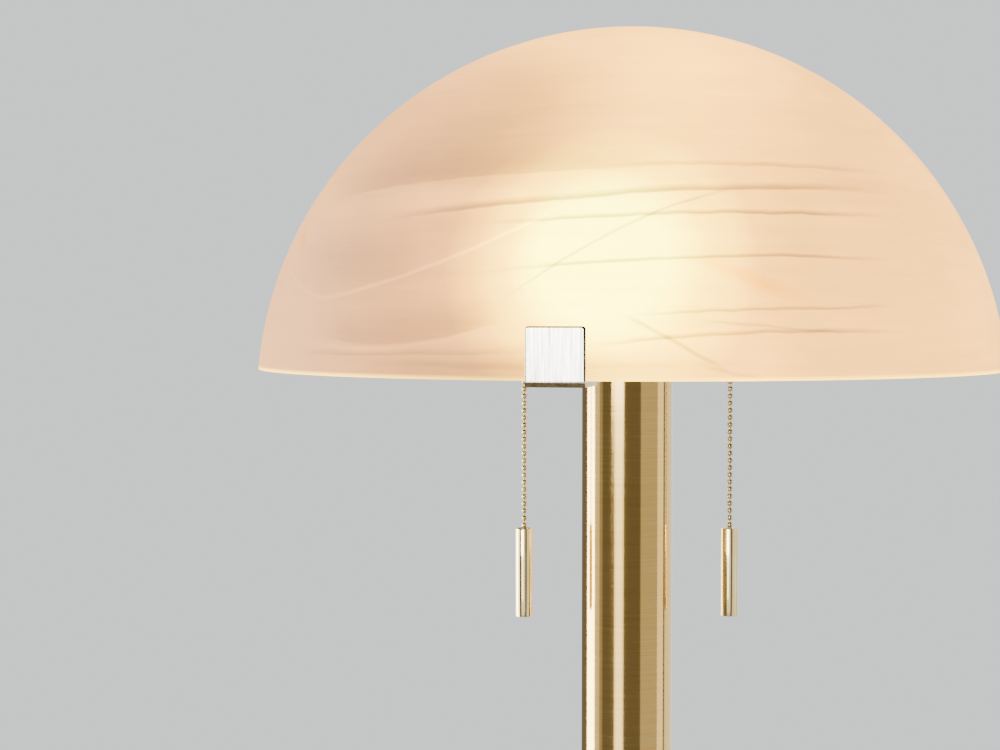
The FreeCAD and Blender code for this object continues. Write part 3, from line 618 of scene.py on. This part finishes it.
def glass_dome(glass):
    """Dome cut from a sphere, given its wall, and ground flat and round-edged at the rim."""
    deselect()
    centre = (0, 0, SPHERE_Z)
    bpy.ops.mesh.primitive_uv_sphere_add(segments=160, ring_count=110, radius=SHADE_R, location=centre)
    dome = settled("alabaster_dome")
    edit(dome)
    bpy.ops.mesh.bisect(plane_co=(0, 0, RIM_Z - 3 * MM), plane_no=(0, 0, 1), clear_inner=True)
    done()
    modify(dome, "SOLIDIFY", thickness=GLASS_T, offset=-1.0, use_even_offset=True)
    edit(dome)
    bpy.ops.mesh.bisect(plane_co=(0, 0, RIM_Z), plane_no=(0, 0, 1), clear_inner=True)
    bpy.ops.mesh.select_all(action="DESELECT")
    bpy.ops.mesh.select_mode(type="EDGE")
    bpy.ops.mesh.select_non_manifold()
    bpy.ops.mesh.bridge_edge_loops()
    done()

    def rim_edge(a, b):
        level = abs(a.z - RIM_Z) < 1e-5 and abs(b.z - RIM_Z) < 1e-5
        return level and abs(math.hypot(a.x, a.y) - math.hypot(b.x, b.y)) < 1 * MM

    pick_edges(dome, rim_edge)
    bpy.ops.mesh.bevel(offset=0.7 * MM, segments=3, affect="EDGES")
    done()
    outward(dome)
    smooth(dome, 40)
    dome.visible_glossy = False  # its deep glow colour would turn the brass orange
    shown(dome, "shade", "alabaster_glass", glass, "glass_shade")


# ---------------------------------------------------------------- column and base


def tube_outline(low, high, radius, wall, chamfer):
    """Outline of a tube with chamfered ends, round from its bore and back."""
    bore = radius - wall
    return [
        (bore, low), (radius - chamfer, low), (radius, low + chamfer),
        (radius, high - chamfer), (radius - chamfer, high), (bore, high), (bore, low),
    ]


def column(brass, finishes):
    """Two equal tubes, the joiner between them with its shadow-line ring, and the lid."""
    low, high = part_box("column_lower_tube")
    tube = turned("brass_lower_tube", tube_outline(low.z, high.z, COLUMN_R, 1.2 * MM, 0.3 * MM), 128)
    smooth(tube)
    upper = copied(tube, "brass_upper_tube", move=(0, 0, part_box("column_upper_tube")[0].z - low.z))
    shown(tube, "lamp", "brass_satin", brass, "column_lower_tube")
    shown(upper, "lamp", "brass_satin", brass, "column_upper_tube")

    ring_low, ring_high = high.z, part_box("column_upper_tube")[0].z
    low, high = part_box("column_joiner")
    ring, core, lead_in = high.x, COLUMN_R - 1.25 * MM, 1.0 * MM
    outline = [
        (9 * MM, low.z), (core - lead_in, low.z), (core, low.z + lead_in), (core, ring_low),
        (ring - 0.3 * MM, ring_low), (ring, ring_low + 0.3 * MM), (ring, ring_high - 0.3 * MM),
        (ring - 0.3 * MM, ring_high), (core, ring_high), (core, high.z - lead_in),
        (core - lead_in, high.z), (9 * MM, high.z), (9 * MM, low.z),
    ]
    joiner = smooth(turned("column_joiner_ring", outline, 128))
    slot = SLOTS["column_joiner"]
    shown(joiner, "lamp", slot, finishes[slot], "column_joiner")

    low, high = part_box("column_cap")
    lid_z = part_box("column_upper_tube")[1].z
    outline = [
        (5.05 * MM, low.z), (23 * MM, low.z), (23.7 * MM, low.z + 0.6 * MM), (23.7 * MM, lid_z),
        (COLUMN_R - 0.4 * MM, lid_z), (COLUMN_R, lid_z + 0.4 * MM), (COLUMN_R, high.z - 0.5 * MM),
        (COLUMN_R - 0.5 * MM, high.z), (5.05 * MM, high.z), (5.05 * MM, low.z),
    ]
    lid = smooth(turned("brass_column_lid", outline, 128))
    shown(lid, "lamp", "brass_satin", brass, "column_cap")


def base(brass):
    """Pan with a rounded shoulder and a ring cut into its top, and the collar the column stands in."""
    low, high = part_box("base_cover")
    edge, top = high.x, high.z
    wall = 1.5 * MM
    shoulder = 6.0 * MM
    groove_r = 0.3 * edge
    outline = [(5.2 * MM, top - wall), (edge - shoulder, top - wall)]
    outline += arc(edge - shoulder, top - shoulder, shoulder - wall, 90, 0, 8)
    outline += [(edge - wall, low.z), (edge - 0.3 * MM, low.z), (edge, low.z + 0.3 * MM)]
    outline += arc(edge - shoulder, top - shoulder, shoulder, 0, 90, 10)
    outline += [(groove_r + 0.9 * MM, top), (groove_r + 0.4 * MM, top - 0.4 * MM)]
    outline += [(groove_r - 0.4 * MM, top - 0.4 * MM), (groove_r - 0.9 * MM, top)]
    outline += [(5.2 * MM, top), (5.2 * MM, top - wall)]
    pan = turned("base_pan", outline, 192)
    smooth(pan)
    shown(pan, "lamp", "brass_satin", brass, "base_cover")

    low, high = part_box("column_foot_ring")
    rounding = 2.5 * MM
    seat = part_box("column_lower_tube")[0].z
    outline = [(5.2 * MM, low.z), (high.x - 0.4 * MM, low.z), (high.x, low.z + 0.4 * MM)]
    outline += arc(high.x - rounding, high.z - rounding, rounding, 0, 90, 6)
    outline += [(COLUMN_R + 0.5 * MM, high.z), (COLUMN_R + 0.05 * MM, high.z - 0.45 * MM)]
    outline += [(COLUMN_R + 0.05 * MM, seat), (5.2 * MM, seat), (5.2 * MM, low.z)]
    ring = turned("foot_collar", outline, 128)
    smooth(ring)
    shown(ring, "lamp", "brass_satin", brass, "column_foot_ring")


# ---------------------------------------------------------------- shade holder


def holder_arm():
    """One strap arm towards +X: a plate drawn out, widened, and its end turned up into a square tab."""
    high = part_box("shade_holder")[1]
    thick, top, reach = STRAP_T, HOLDER_TOP, TAB_OUT
    widen_x, flare = 170 * MM, 4 * MM
    deselect()
    middle = (0.5 * widen_x, 0, top - 0.5 * thick)
    bpy.ops.mesh.primitive_cube_add(size=1, location=middle, scale=(widen_x, ARM_W, thick))
    arm = settled("holder_arm")
    steps = ((flare, TAB_W / ARM_W), (reach - thick - widen_x - flare, 1.0), (thick, 1.0))
    for step, widen in steps:
        end_x = max(v.co.x for v in arm.data.vertices)
        pick_faces(arm, lambda centre, normal: normal.x > 0.9 and centre.x > end_x - 1e-6)
        bpy.ops.mesh.extrude_region_move(TRANSFORM_OT_translate={"value": (step, 0, 0)})
        bpy.ops.transform.resize(value=(1, widen, 1))
        done()
    pick_faces(arm, lambda centre, normal: normal.z > 0.9 and centre.x > reach - thick)
    bpy.ops.mesh.extrude_region_move(TRANSFORM_OT_translate={"value": (0, 0, high.z - top)})
    bpy.ops.mesh.select_all(action="SELECT")
    bpy.ops.mesh.dissolve_limited(angle_limit=math.radians(1))
    done()

    def outer_bend(a, b):
        return min(a.x, b.x) > reach - 1e-6 and max(a.z, b.z) < top - thick + 1e-6

    def inner_bend(a, b):
        on_line = abs(a.x - b.x) < 1e-7 and abs(a.x - (reach - thick)) < 1e-6
        return on_line and abs(a.z - top) < 1e-6 and abs(b.z - top) < 1e-6

    def tab_corner(a, b):
        return min(a.z, b.z) > high.z - 1e-6 and abs(a.y - b.y) < 1e-7 and abs(a.x - b.x) > 1 * MM

    def face_border(a, b):
        return min(a.x, b.x) > reach - 1e-6 and max(a.z, b.z) > top + thick

    bends = ((outer_bend, 2.9, 8), (inner_bend, 0.8, 4), (tab_corner, 1.4, 6), (face_border, 0.9, 4))
    for wanted, radius, segments in bends:
        pick_edges(arm, wanted)
        bpy.ops.mesh.bevel(offset=radius * MM, segments=segments, affect="EDGES")
        done()
    return arm


def tab_painted_shade(name, dark, light, metallic):
    """Painted shade on the strap: dull to dark brown brass for the underside of the bend and for the tab
    edges that lie in shade.
    """
    finish = Finish(name, metallic=metallic, specular_ior_level=0.0)
    # Noise only mottles the painted shade.
    blotches = finish.noise(finish.scaled(500, 500, 500), 1.0, 3.0)
    finish.set("Base Color", finish.ramp(blotches, ((0.3, dark), (0.7, light))))
    finish.set("Roughness", finish.spread(blotches, 0.3, 0.7, 0.45, 0.6))
    return finish.material


def holder(brass, tab_finish, bend_shade_finish, edge_shade_finish):
    """Hub and three arms united, with softened edges, pale tab faces whose colour is a painted highlight,
    and painted shade on the bends and on the tabs' right and top edges.
    """
    middle = (0, 0, HOLDER_TOP - 0.5 * STRAP_T)
    deselect()
    bpy.ops.mesh.primitive_cylinder_add(vertices=96, radius=COLUMN_R, depth=STRAP_T, location=middle)
    hub = settled("shade_holder_spider")
    first = holder_arm()
    arms = [copied(first, f"arm_{k}", turn=turn) for k, turn in enumerate(ARM_TURNS)]
    bpy.data.objects.remove(first)
    for arm in arms:
        modify(hub, "BOOLEAN", operation="UNION", object=arm, solver="EXACT")
        bpy.data.objects.remove(arm)
    soften(hub, 0.3 * MM, 2, 40)
    smooth(hub, 35)
    modify(hub, "WEIGHTED_NORMAL", keep_sharp=True)
    shown(hub, "lamp", "brass_satin", brass, "shade_holder")
    hub.data.materials.append(tab_finish)
    hub.data.materials.append(bend_shade_finish)
    hub.data.materials.append(edge_shade_finish)
    for face in hub.data.polygons:
        for turn in ARM_TURNS:
            way = Vector((math.cos(turn), math.sin(turn), 0))
            right = Vector((-way.y, way.x, 0))
            out = face.center.dot(way)
            # The outward face of each tab takes the pale finish, whose colour is a painted highlight.
            if face.normal.dot(way) > 0.97 and out > TAB_OUT - 0.3 * MM:
                face.material_index = 1
            # Painted shade: faces under the bend take the dull brown finish, and the tab's right-hand and
            # top-facing edges the dark brown one; the left-hand edges stay brass.
            elif out > TAB_OUT - 1.3 * STRAP_T and max(face.normal.dot(right), abs(face.normal.z)) > 0.22:
                face.material_index = 2 if face.normal.z < -0.22 else 3


# ---------------------------------------------------------------- chains and pulls

BEAD_R = 1.6 * MM
LINK_R = 0.45 * MM


def bead_and_link(x, z, link_up):
    """One hollow bead with a rolled lip at each end, and the neck of wire that joins it to the next."""
    deselect()
    bpy.ops.mesh.primitive_uv_sphere_add(segments=20, ring_count=14, radius=BEAD_R, location=(x, 0, z))
    bead = settled("bead")
    tip = 0.93 * BEAD_R
    pick_faces(bead, lambda centre, normal: abs(centre.z - z) > tip)
    bpy.ops.transform.resize(value=(1, 1, 0.965), center_override=(x, 0, z))
    done()
    if link_up is None:
        return bead
    deselect()
    middle = (x, 0, z + 0.5 * link_up)
    bpy.ops.mesh.primitive_cylinder_add(vertices=10, radius=LINK_R, depth=abs(link_up), location=middle)
    link = settled("link")
    return joined([bead, link], "bead_and_link")


def bead_run(x, highest, pitch, count):
    """A run of beads, copied down from the highest."""
    first = bead_and_link(x, highest, -pitch)
    modify(first, "ARRAY", count=count - 1, use_relative_offset=False, use_constant_offset=True,
           constant_offset_displace=(0, 0, -pitch))
    last = bead_and_link(x, highest - (count - 1) * pitch, None)
    return joined([first, last], "bead_run")


def one_a_side(model, x, name, body, slot, finish, node):
    """Copies a piece, modelled on the right at x from the axis, to both sides of the lamp."""
    for side, sign in SIDES:
        piece = copied(model, f"{side}_{name}", move=((sign - 1) * x, 0, 0))
        shown(piece, f"{side}_{body}" if body != "lamp" else body, slot, finish, f"{side}_{node}")
    bpy.data.objects.remove(model)


def chains(finish):
    """Beads above the bell, the bead that the chain bends at, and the hanging run."""
    low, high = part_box("right_chain_pivot_bead")
    x, pivot = 0.5 * (low.x + high.x), 0.5 * (low.z + high.z)
    pitch = (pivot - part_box("right_chain_lower")[0].z - BEAD_R) / 27
    for model, name, body, node in (
        (bead_run(x, pivot + 7 * pitch, pitch, 7), "chain_beads_above", "chain_run", "chain_upper"),
        (bead_and_link(x, pivot, 0.5 * pitch), "chain_bead_in_bell", "chain_pivot", "chain_pivot_bead"),
        (bead_run(x, pivot - pitch, pitch, 27), "chain_beads", "hanging_chain", "chain_lower"),
    ):
        one_a_side(smooth(model, 60), x, name, body, "brass_polished", finish, node)


def bells(finishes):
    """Trumpet-mouthed guides on the switches' nozzles, which the chains swing from."""
    low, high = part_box("right_chain_bell")
    x = 0.5 * (low.x + high.x)
    flare, wall, throat, grip = 4.0 * MM, 0.7 * MM, 2.3 * MM, 4.65 * MM
    pivot, seat, shelf = low.z + flare, high.z, high.z - 3.05 * MM
    outside = grip + wall + 0.25 * MM
    outline = arc(throat + flare, pivot, flare, 270, 180, 8)
    outline += [(throat, shelf), (grip, shelf), (grip, seat), (outside - 0.3 * MM, seat),
                (outside, seat - 0.3 * MM), (outside, shelf - 0.75 * MM),
                (throat + wall + 0.9 * MM, pivot + 1.2 * MM)]
    outline += arc(throat + flare, pivot, flare - wall, 180, 270, 8) + [outline[0]]
    bell = smooth(turned("bell_guide", outline, 48, at=(x, 0.0)), 40)
    slot = SLOTS["right_chain_bell"]
    one_a_side(bell, x, "bell_guide", "lamp", slot, finishes[slot], "chain_bell")


def pulls(finish):
    """Turned rods with fine chamfers and a countersunk hole for the chain's last bead."""
    low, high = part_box("right_chain_pull")
    x, radius = 0.5 * (low.x + high.x), 0.5 * (high.x - low.x)
    hole, floor_z = BEAD_R + 0.06 * MM, high.z - 4.4 * MM
    outline = [(0, floor_z), (hole, floor_z), (hole, high.z - 0.5 * MM), (hole + 0.5 * MM, high.z)]
    round_off, crown = 0.45 * MM, 0.12 * MM
    outline += [(radius - round_off, high.z), (radius - crown, high.z - crown), (radius, high.z - round_off)]
    outline += [(radius, low.z + round_off), (radius - crown, low.z + crown), (radius - round_off, low.z)]
    outline += [(0, low.z)]
    rod = smooth(turned("pull_rod", outline, 64, at=(x, 0.0)), 30)
    one_a_side(rod, x, "brass_pull", "hanging_chain", "brass_polished", finish, "chain_pull")


# ---------------------------------------------------------------- bulbs


def bulb_finish():
    """Frosted globe, glowing warm white."""
    finish = Finish("glowing frosted globe", roughness=0.5)
    frost = finish.noise(finish.scaled(300, 300, 300), 1.0, 3.0)
    finish.set("Base Color", finish.ramp(frost, ((0.3, (0.85, 0.82, 0.76)), (0.7, (0.92, 0.9, 0.85)))))
    finish.set("Emission Color", finish.ramp(frost, ((0.3, (1.0, 0.70, 0.36)), (0.7, (1.0, 0.76, 0.42)))))
    finish.set("Emission Strength", 9.0)
    return finish.material


def bulbs(globe_finish, collar_finish, cap_finish, insulator_finish):
    """Frosted globe, flared white collar, and screw cap with its rolled thread and black insulator."""
    low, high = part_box("back_bulb_globe")
    near, tip, radius = low.y, high.y, 0.5 * (high.x - low.x)
    centre, neck = tip - radius, 20.4 * MM
    waist = 0.5 * (neck + radius) + 0.6 * MM
    globe = [(0, near), (neck, near), (waist, near + 0.45 * (centre - near))]
    globe += arc(0, centre, radius, 0, 84, 16) + [(0, tip)]

    low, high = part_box("back_bulb_collar")
    root = 13.4 * MM
    collar = [(0, low.y), (root, low.y), (root + 0.9 * MM, low.y + 4 * MM), (16.2 * MM, low.y + 9 * MM),
              (18.6 * MM, low.y + 15.5 * MM), (20.3 * MM, high.y - 1 * MM), (20.3 * MM, high.y), (0, high.y)]

    low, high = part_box("back_bulb_cap")
    crest, groove, pitch, turns = 0.5 * (high.x - low.x), 12.4 * MM, 3.6 * MM, 4
    cap = [(0, low.y), (2.6 * MM, low.y + 0.5 * MM), (4.2 * MM, low.y + 1.6 * MM),
           (11.0 * MM, low.y + 5.0 * MM), (groove, low.y + 6.5 * MM)]
    for k in range(turns):
        start = low.y + 7.2 * MM + k * pitch
        cap += [(groove, start), (crest - 0.15 * MM, start + 0.7 * MM), (crest, start + 1.2 * MM),
                (crest - 0.15 * MM, start + 1.7 * MM), (groove, start + 2.4 * MM)]
    cap += [(crest - 0.4 * MM, high.y - 1.2 * MM), (crest - 0.4 * MM, high.y), (0, high.y)]
    insulator_from, insulator_to = low.y + 1.5 * MM, low.y + 5.1 * MM

    for outline, name, slot, finish in (
        (globe, "globe", "frosted_globe", globe_finish),
        (collar, "collar", "bulb_collar_white", collar_finish),
        (cap, "screw_cap", "bulb_metal", cap_finish),
    ):
        back = smooth(turned(f"back_{name}", outline, 64), 60)
        back = set_down(back, (0, 0, SOCKET_Z), (math.radians(-90), 0, 0))
        front = copied(back, f"front_{name}", turn=math.pi)
        for end, piece in (("back", back), ("front", front)):
            node = "cap" if name == "screw_cap" else name
            shown(piece, f"{end}_bulb", slot, finish, f"{end}_bulb_{node}")
            if name == "screw_cap":
                piece.data.materials.append(insulator_finish)
                for face in piece.data.polygons:
                    if insulator_from < abs(face.center.y) < insulator_to:
                        face.material_index = 1


# ---------------------------------------------------------------- studio


def around(angle, distance, height):
    """Point at an angle from the camera's side of the lamp, positive to the camera's right."""
    turn = VIEW_TURN + math.radians(angle)
    return Vector((distance * math.sin(turn), -distance * math.cos(turn), height))


def softbox(name, angle, distance, height, width, tall, radiance, color=(1, 1, 1), aim=None):
    """Rectangular lamp, its brightness given as radiance. With no aim it is only for reflections."""
    light = bpy.data.lights.new(name, "AREA")
    light.shape = "RECTANGLE"
    light.size, light.size_y = width, tall
    light.energy = radiance * width * tall * math.pi
    light.color = color
    stand = bpy.data.objects.new(name, light)
    bpy.context.scene.collection.objects.link(stand)
    place = around(angle, distance, height)
    target = Vector((0, 0, height)) if aim is None else Vector(aim)
    facing = (target - place).to_track_quat("-Z", "Y").to_matrix().to_4x4()
    stand.matrix_world = Matrix.Translation(place) @ facing
    stand.visible_camera = False
    if aim is None:
        stand.visible_diffuse = False
    else:
        stand.visible_glossy = False
    return stand


def studio():
    """Tall softboxes that the brass reflects, three soft lights for the rest, and a pale backdrop."""
    mid = 1.25
    softbox("left wall of light", -105.5, 1.5, mid, 0.80, 2.4, 15.0)
    softbox("left wall, soft edge", -82, 1.5, mid, 0.42, 2.4, 0.7)
    softbox("left wall, softer edge", -78, 1.5, mid, 0.7, 2.4, 0.3)
    softbox("window behind the camera", -20.5, 2.2, 0.88, 0.60, 0.9, 3.6)
    softbox("window's soft edge", -20.5, 2.2, 0.88, 0.92, 0.9, 2.4)
    softbox("window, upper half", -24.0, 2.2, 1.68, 1.25, 0.7, 14.0)
    softbox("right bounce", 58, 2.0, mid, 1.75, 2.4, 0.56)
    softbox("right bounce, brighter edge", 93.5, 2.0, mid, 0.78, 2.4, 1.7, (1.0, 0.97, 0.95))
    softbox("right rear", 147, 2.2, mid, 3.2, 2.4, 1.4, (0.95, 0.97, 1.0))
    pulls_only = bpy.data.collections.new("pulls")
    for side, _ in SIDES:
        pulls_only.objects.link(bpy.data.objects[f"{side}_brass_pull"])
    for shine in (
        softbox("left shine on the pulls", -112, 1.2, mid, 2.6, 2.4, 5.0),
        softbox("front shine on the pulls", -12, 2.2, mid, 2.0, 2.4, 1.5),
        softbox("right shine on the pulls", 62, 2.0, mid, 1.6, 2.4, 0.7),
    ):
        shine.light_linking.receiver_collection = pulls_only
    softbox("key", -55, 2.4, 2.6, 1.4, 1.4, 1.6, aim=(0, 0, 1.0))
    softbox("fill", 50, 2.6, 2.0, 1.6, 1.6, 0.8, aim=(0, 0, 1.0))
    softbox("overhead", 180, 1.0, 3.2, 2.2, 2.2, 1.2, aim=(0, 0, 0.0))

    world = bpy.data.worlds.new("studio")
    bpy.context.scene.world = world
    world.use_nodes = True
    tree = world.node_tree
    seen = tree.nodes["Background"]
    seen.inputs["Color"].default_value = (0.96, 0.98, 1.0, 1.0)
    seen.inputs["Strength"].default_value = 1.05
    around_light = tree.nodes.new("ShaderNodeBackground")
    around_light.inputs["Color"].default_value = (1.0, 0.98, 0.95, 1.0)
    around_light.inputs["Strength"].default_value = 0.2
    mixed = tree.nodes.new("ShaderNodeMixShader")
    path = tree.nodes.new("ShaderNodeLightPath")
    tree.links.new(path.outputs["Is Camera Ray"], mixed.inputs[0])
    tree.links.new(around_light.outputs[0], mixed.inputs[1])
    tree.links.new(seen.outputs[0], mixed.inputs[2])
    tree.links.new(mixed.outputs[0], tree.nodes["World Output"].inputs["Surface"])


def floor():
    """Round pale floor that fades into the backdrop."""
    deselect()
    bpy.ops.mesh.primitive_circle_add(vertices=96, radius=4.0, fill_type="NGON")
    disc = settled("studio_floor")
    finish = Finish("pale floor", roughness=0.7)
    speckle = finish.noise(finish.scaled(60, 60, 60), 1.0, 3.0)
    finish.set("Base Color", finish.ramp(speckle, ((0.3, (0.78, 0.78, 0.78)), (0.7, (0.82, 0.82, 0.82)))))
    finish.set("Emission Color", (0.96, 0.98, 1.0))
    finish.set("Emission Strength", 0.45)
    clear = finish.node("BsdfTransparent")
    radius = finish.vector("LENGTH", finish.place)
    fade = finish.spread(radius, 0.9, 2.8, smooth_ends=True)
    mixed = finish.node("MixShader", {0: fade})
    finish.tree.links.new(finish.shader.outputs[0], mixed.inputs[1])
    finish.tree.links.new(clear.outputs[0], mixed.inputs[2])
    finish.tree.links.new(mixed.outputs[0], finish.tree.nodes["Material Output"].inputs["Surface"])
    disc.data.materials.append(finish.material)


def camera():
    """Just above the rim, a metre away, a little to the left of the lamp's front."""
    lens = bpy.data.cameras.new("camera")
    lens.sensor_width = 36.0
    lens.lens = 65.0
    lens.clip_end = 60.0
    place = around(0, 1.0, RIM_Z + 30.4 * MM)
    yaw, pitch = math.radians(-4.04) - VIEW_TURN, math.radians(1.98)
    look = Vector((math.sin(yaw) * math.cos(pitch), math.cos(yaw) * math.cos(pitch), -math.sin(pitch)))
    stand = bpy.data.objects.new("camera", lens)
    bpy.context.scene.collection.objects.link(stand)
    stand.matrix_world = Matrix.Translation(place) @ look.to_track_quat("-Z", "Y").to_matrix().to_4x4()
    bpy.context.scene.camera = stand


# ---------------------------------------------------------------- the lamp


def carried_over(finishes):
    """Gives each CAD node that stays in view the finish of its record slot."""
    for name, node in frame["nodes"].items():
        node.data.materials.clear()
        node.data.materials.append(finishes[SLOTS[name]])


def main():
    camera()
    floor()
    satin = column_brass()
    polished = polished_brass("polished brass", (0.74, 0.56, 0.24), (0.84, 0.68, 0.34), 0.07)
    chain_brass = polished_brass("ball chain brass", (0.55, 0.43, 0.17), (0.70, 0.57, 0.26), 0.16)
    glass = alabaster_glass()
    globe = bulb_finish()
    white = moulded("white bulb collar", (0.86, 0.85, 0.82), 0.4)
    nickel = plated("nickel plate", (0.72, 0.71, 0.68))
    finishes = {
        "brass_satin": satin,
        "brass_polished": polished,
        "brass_plain": plain_brass(),
        "cast_iron": moulded("cast iron", (0.045, 0.045, 0.05), 0.7, 500, 0.5),
        "steel": plated("zinc plate", (0.6, 0.6, 0.58), 0.32),
        "black_rubber": moulded("black rubber", (0.03, 0.03, 0.032), 0.7),
        "clear_silicone": moulded("milky silicone", (0.78, 0.76, 0.7), 0.35),
        "alabaster_glass": glass,
        "black_phenolic": moulded("black phenolic", (0.035, 0.03, 0.028), 0.35),
        "fibre": moulded("brown fibre card", (0.16, 0.10, 0.06), 0.75),
        "lead_insulation": moulded("white lead insulation", (0.8, 0.79, 0.74), 0.45),
        "connector_nylon": moulded("orange nylon", (0.72, 0.25, 0.05), 0.4),
        "bulb_metal": nickel,
        "bulb_collar_white": white,
        "frosted_globe": globe,
    }
    carried_over(finishes)
    glass_dome(glass)
    column(satin, finishes)
    base(lathe_brass())
    # Painted shade: a dull brown finish for the underside of each tab's bend and a dark brown one for its
    # right and top edges.
    bend = tab_painted_shade("painted shade on the bend, dull brown", (0.15, 0.11, 0.05), (0.26, 0.20, 0.10), 0.6)
    edge_painted_shade = tab_painted_shade("painted shade on the tab edges, dark brown", (0.012, 0.010, 0.005), (0.03, 0.025, 0.012), 0.0)
    holder(satin, tab_face_painted_highlight(), bend, edge_painted_shade)
    chains(chain_brass)
    bells(finishes)
    pulls(polished)
    bulbs(globe, white, nickel, finishes["black_phenolic"])
    studio()


main()
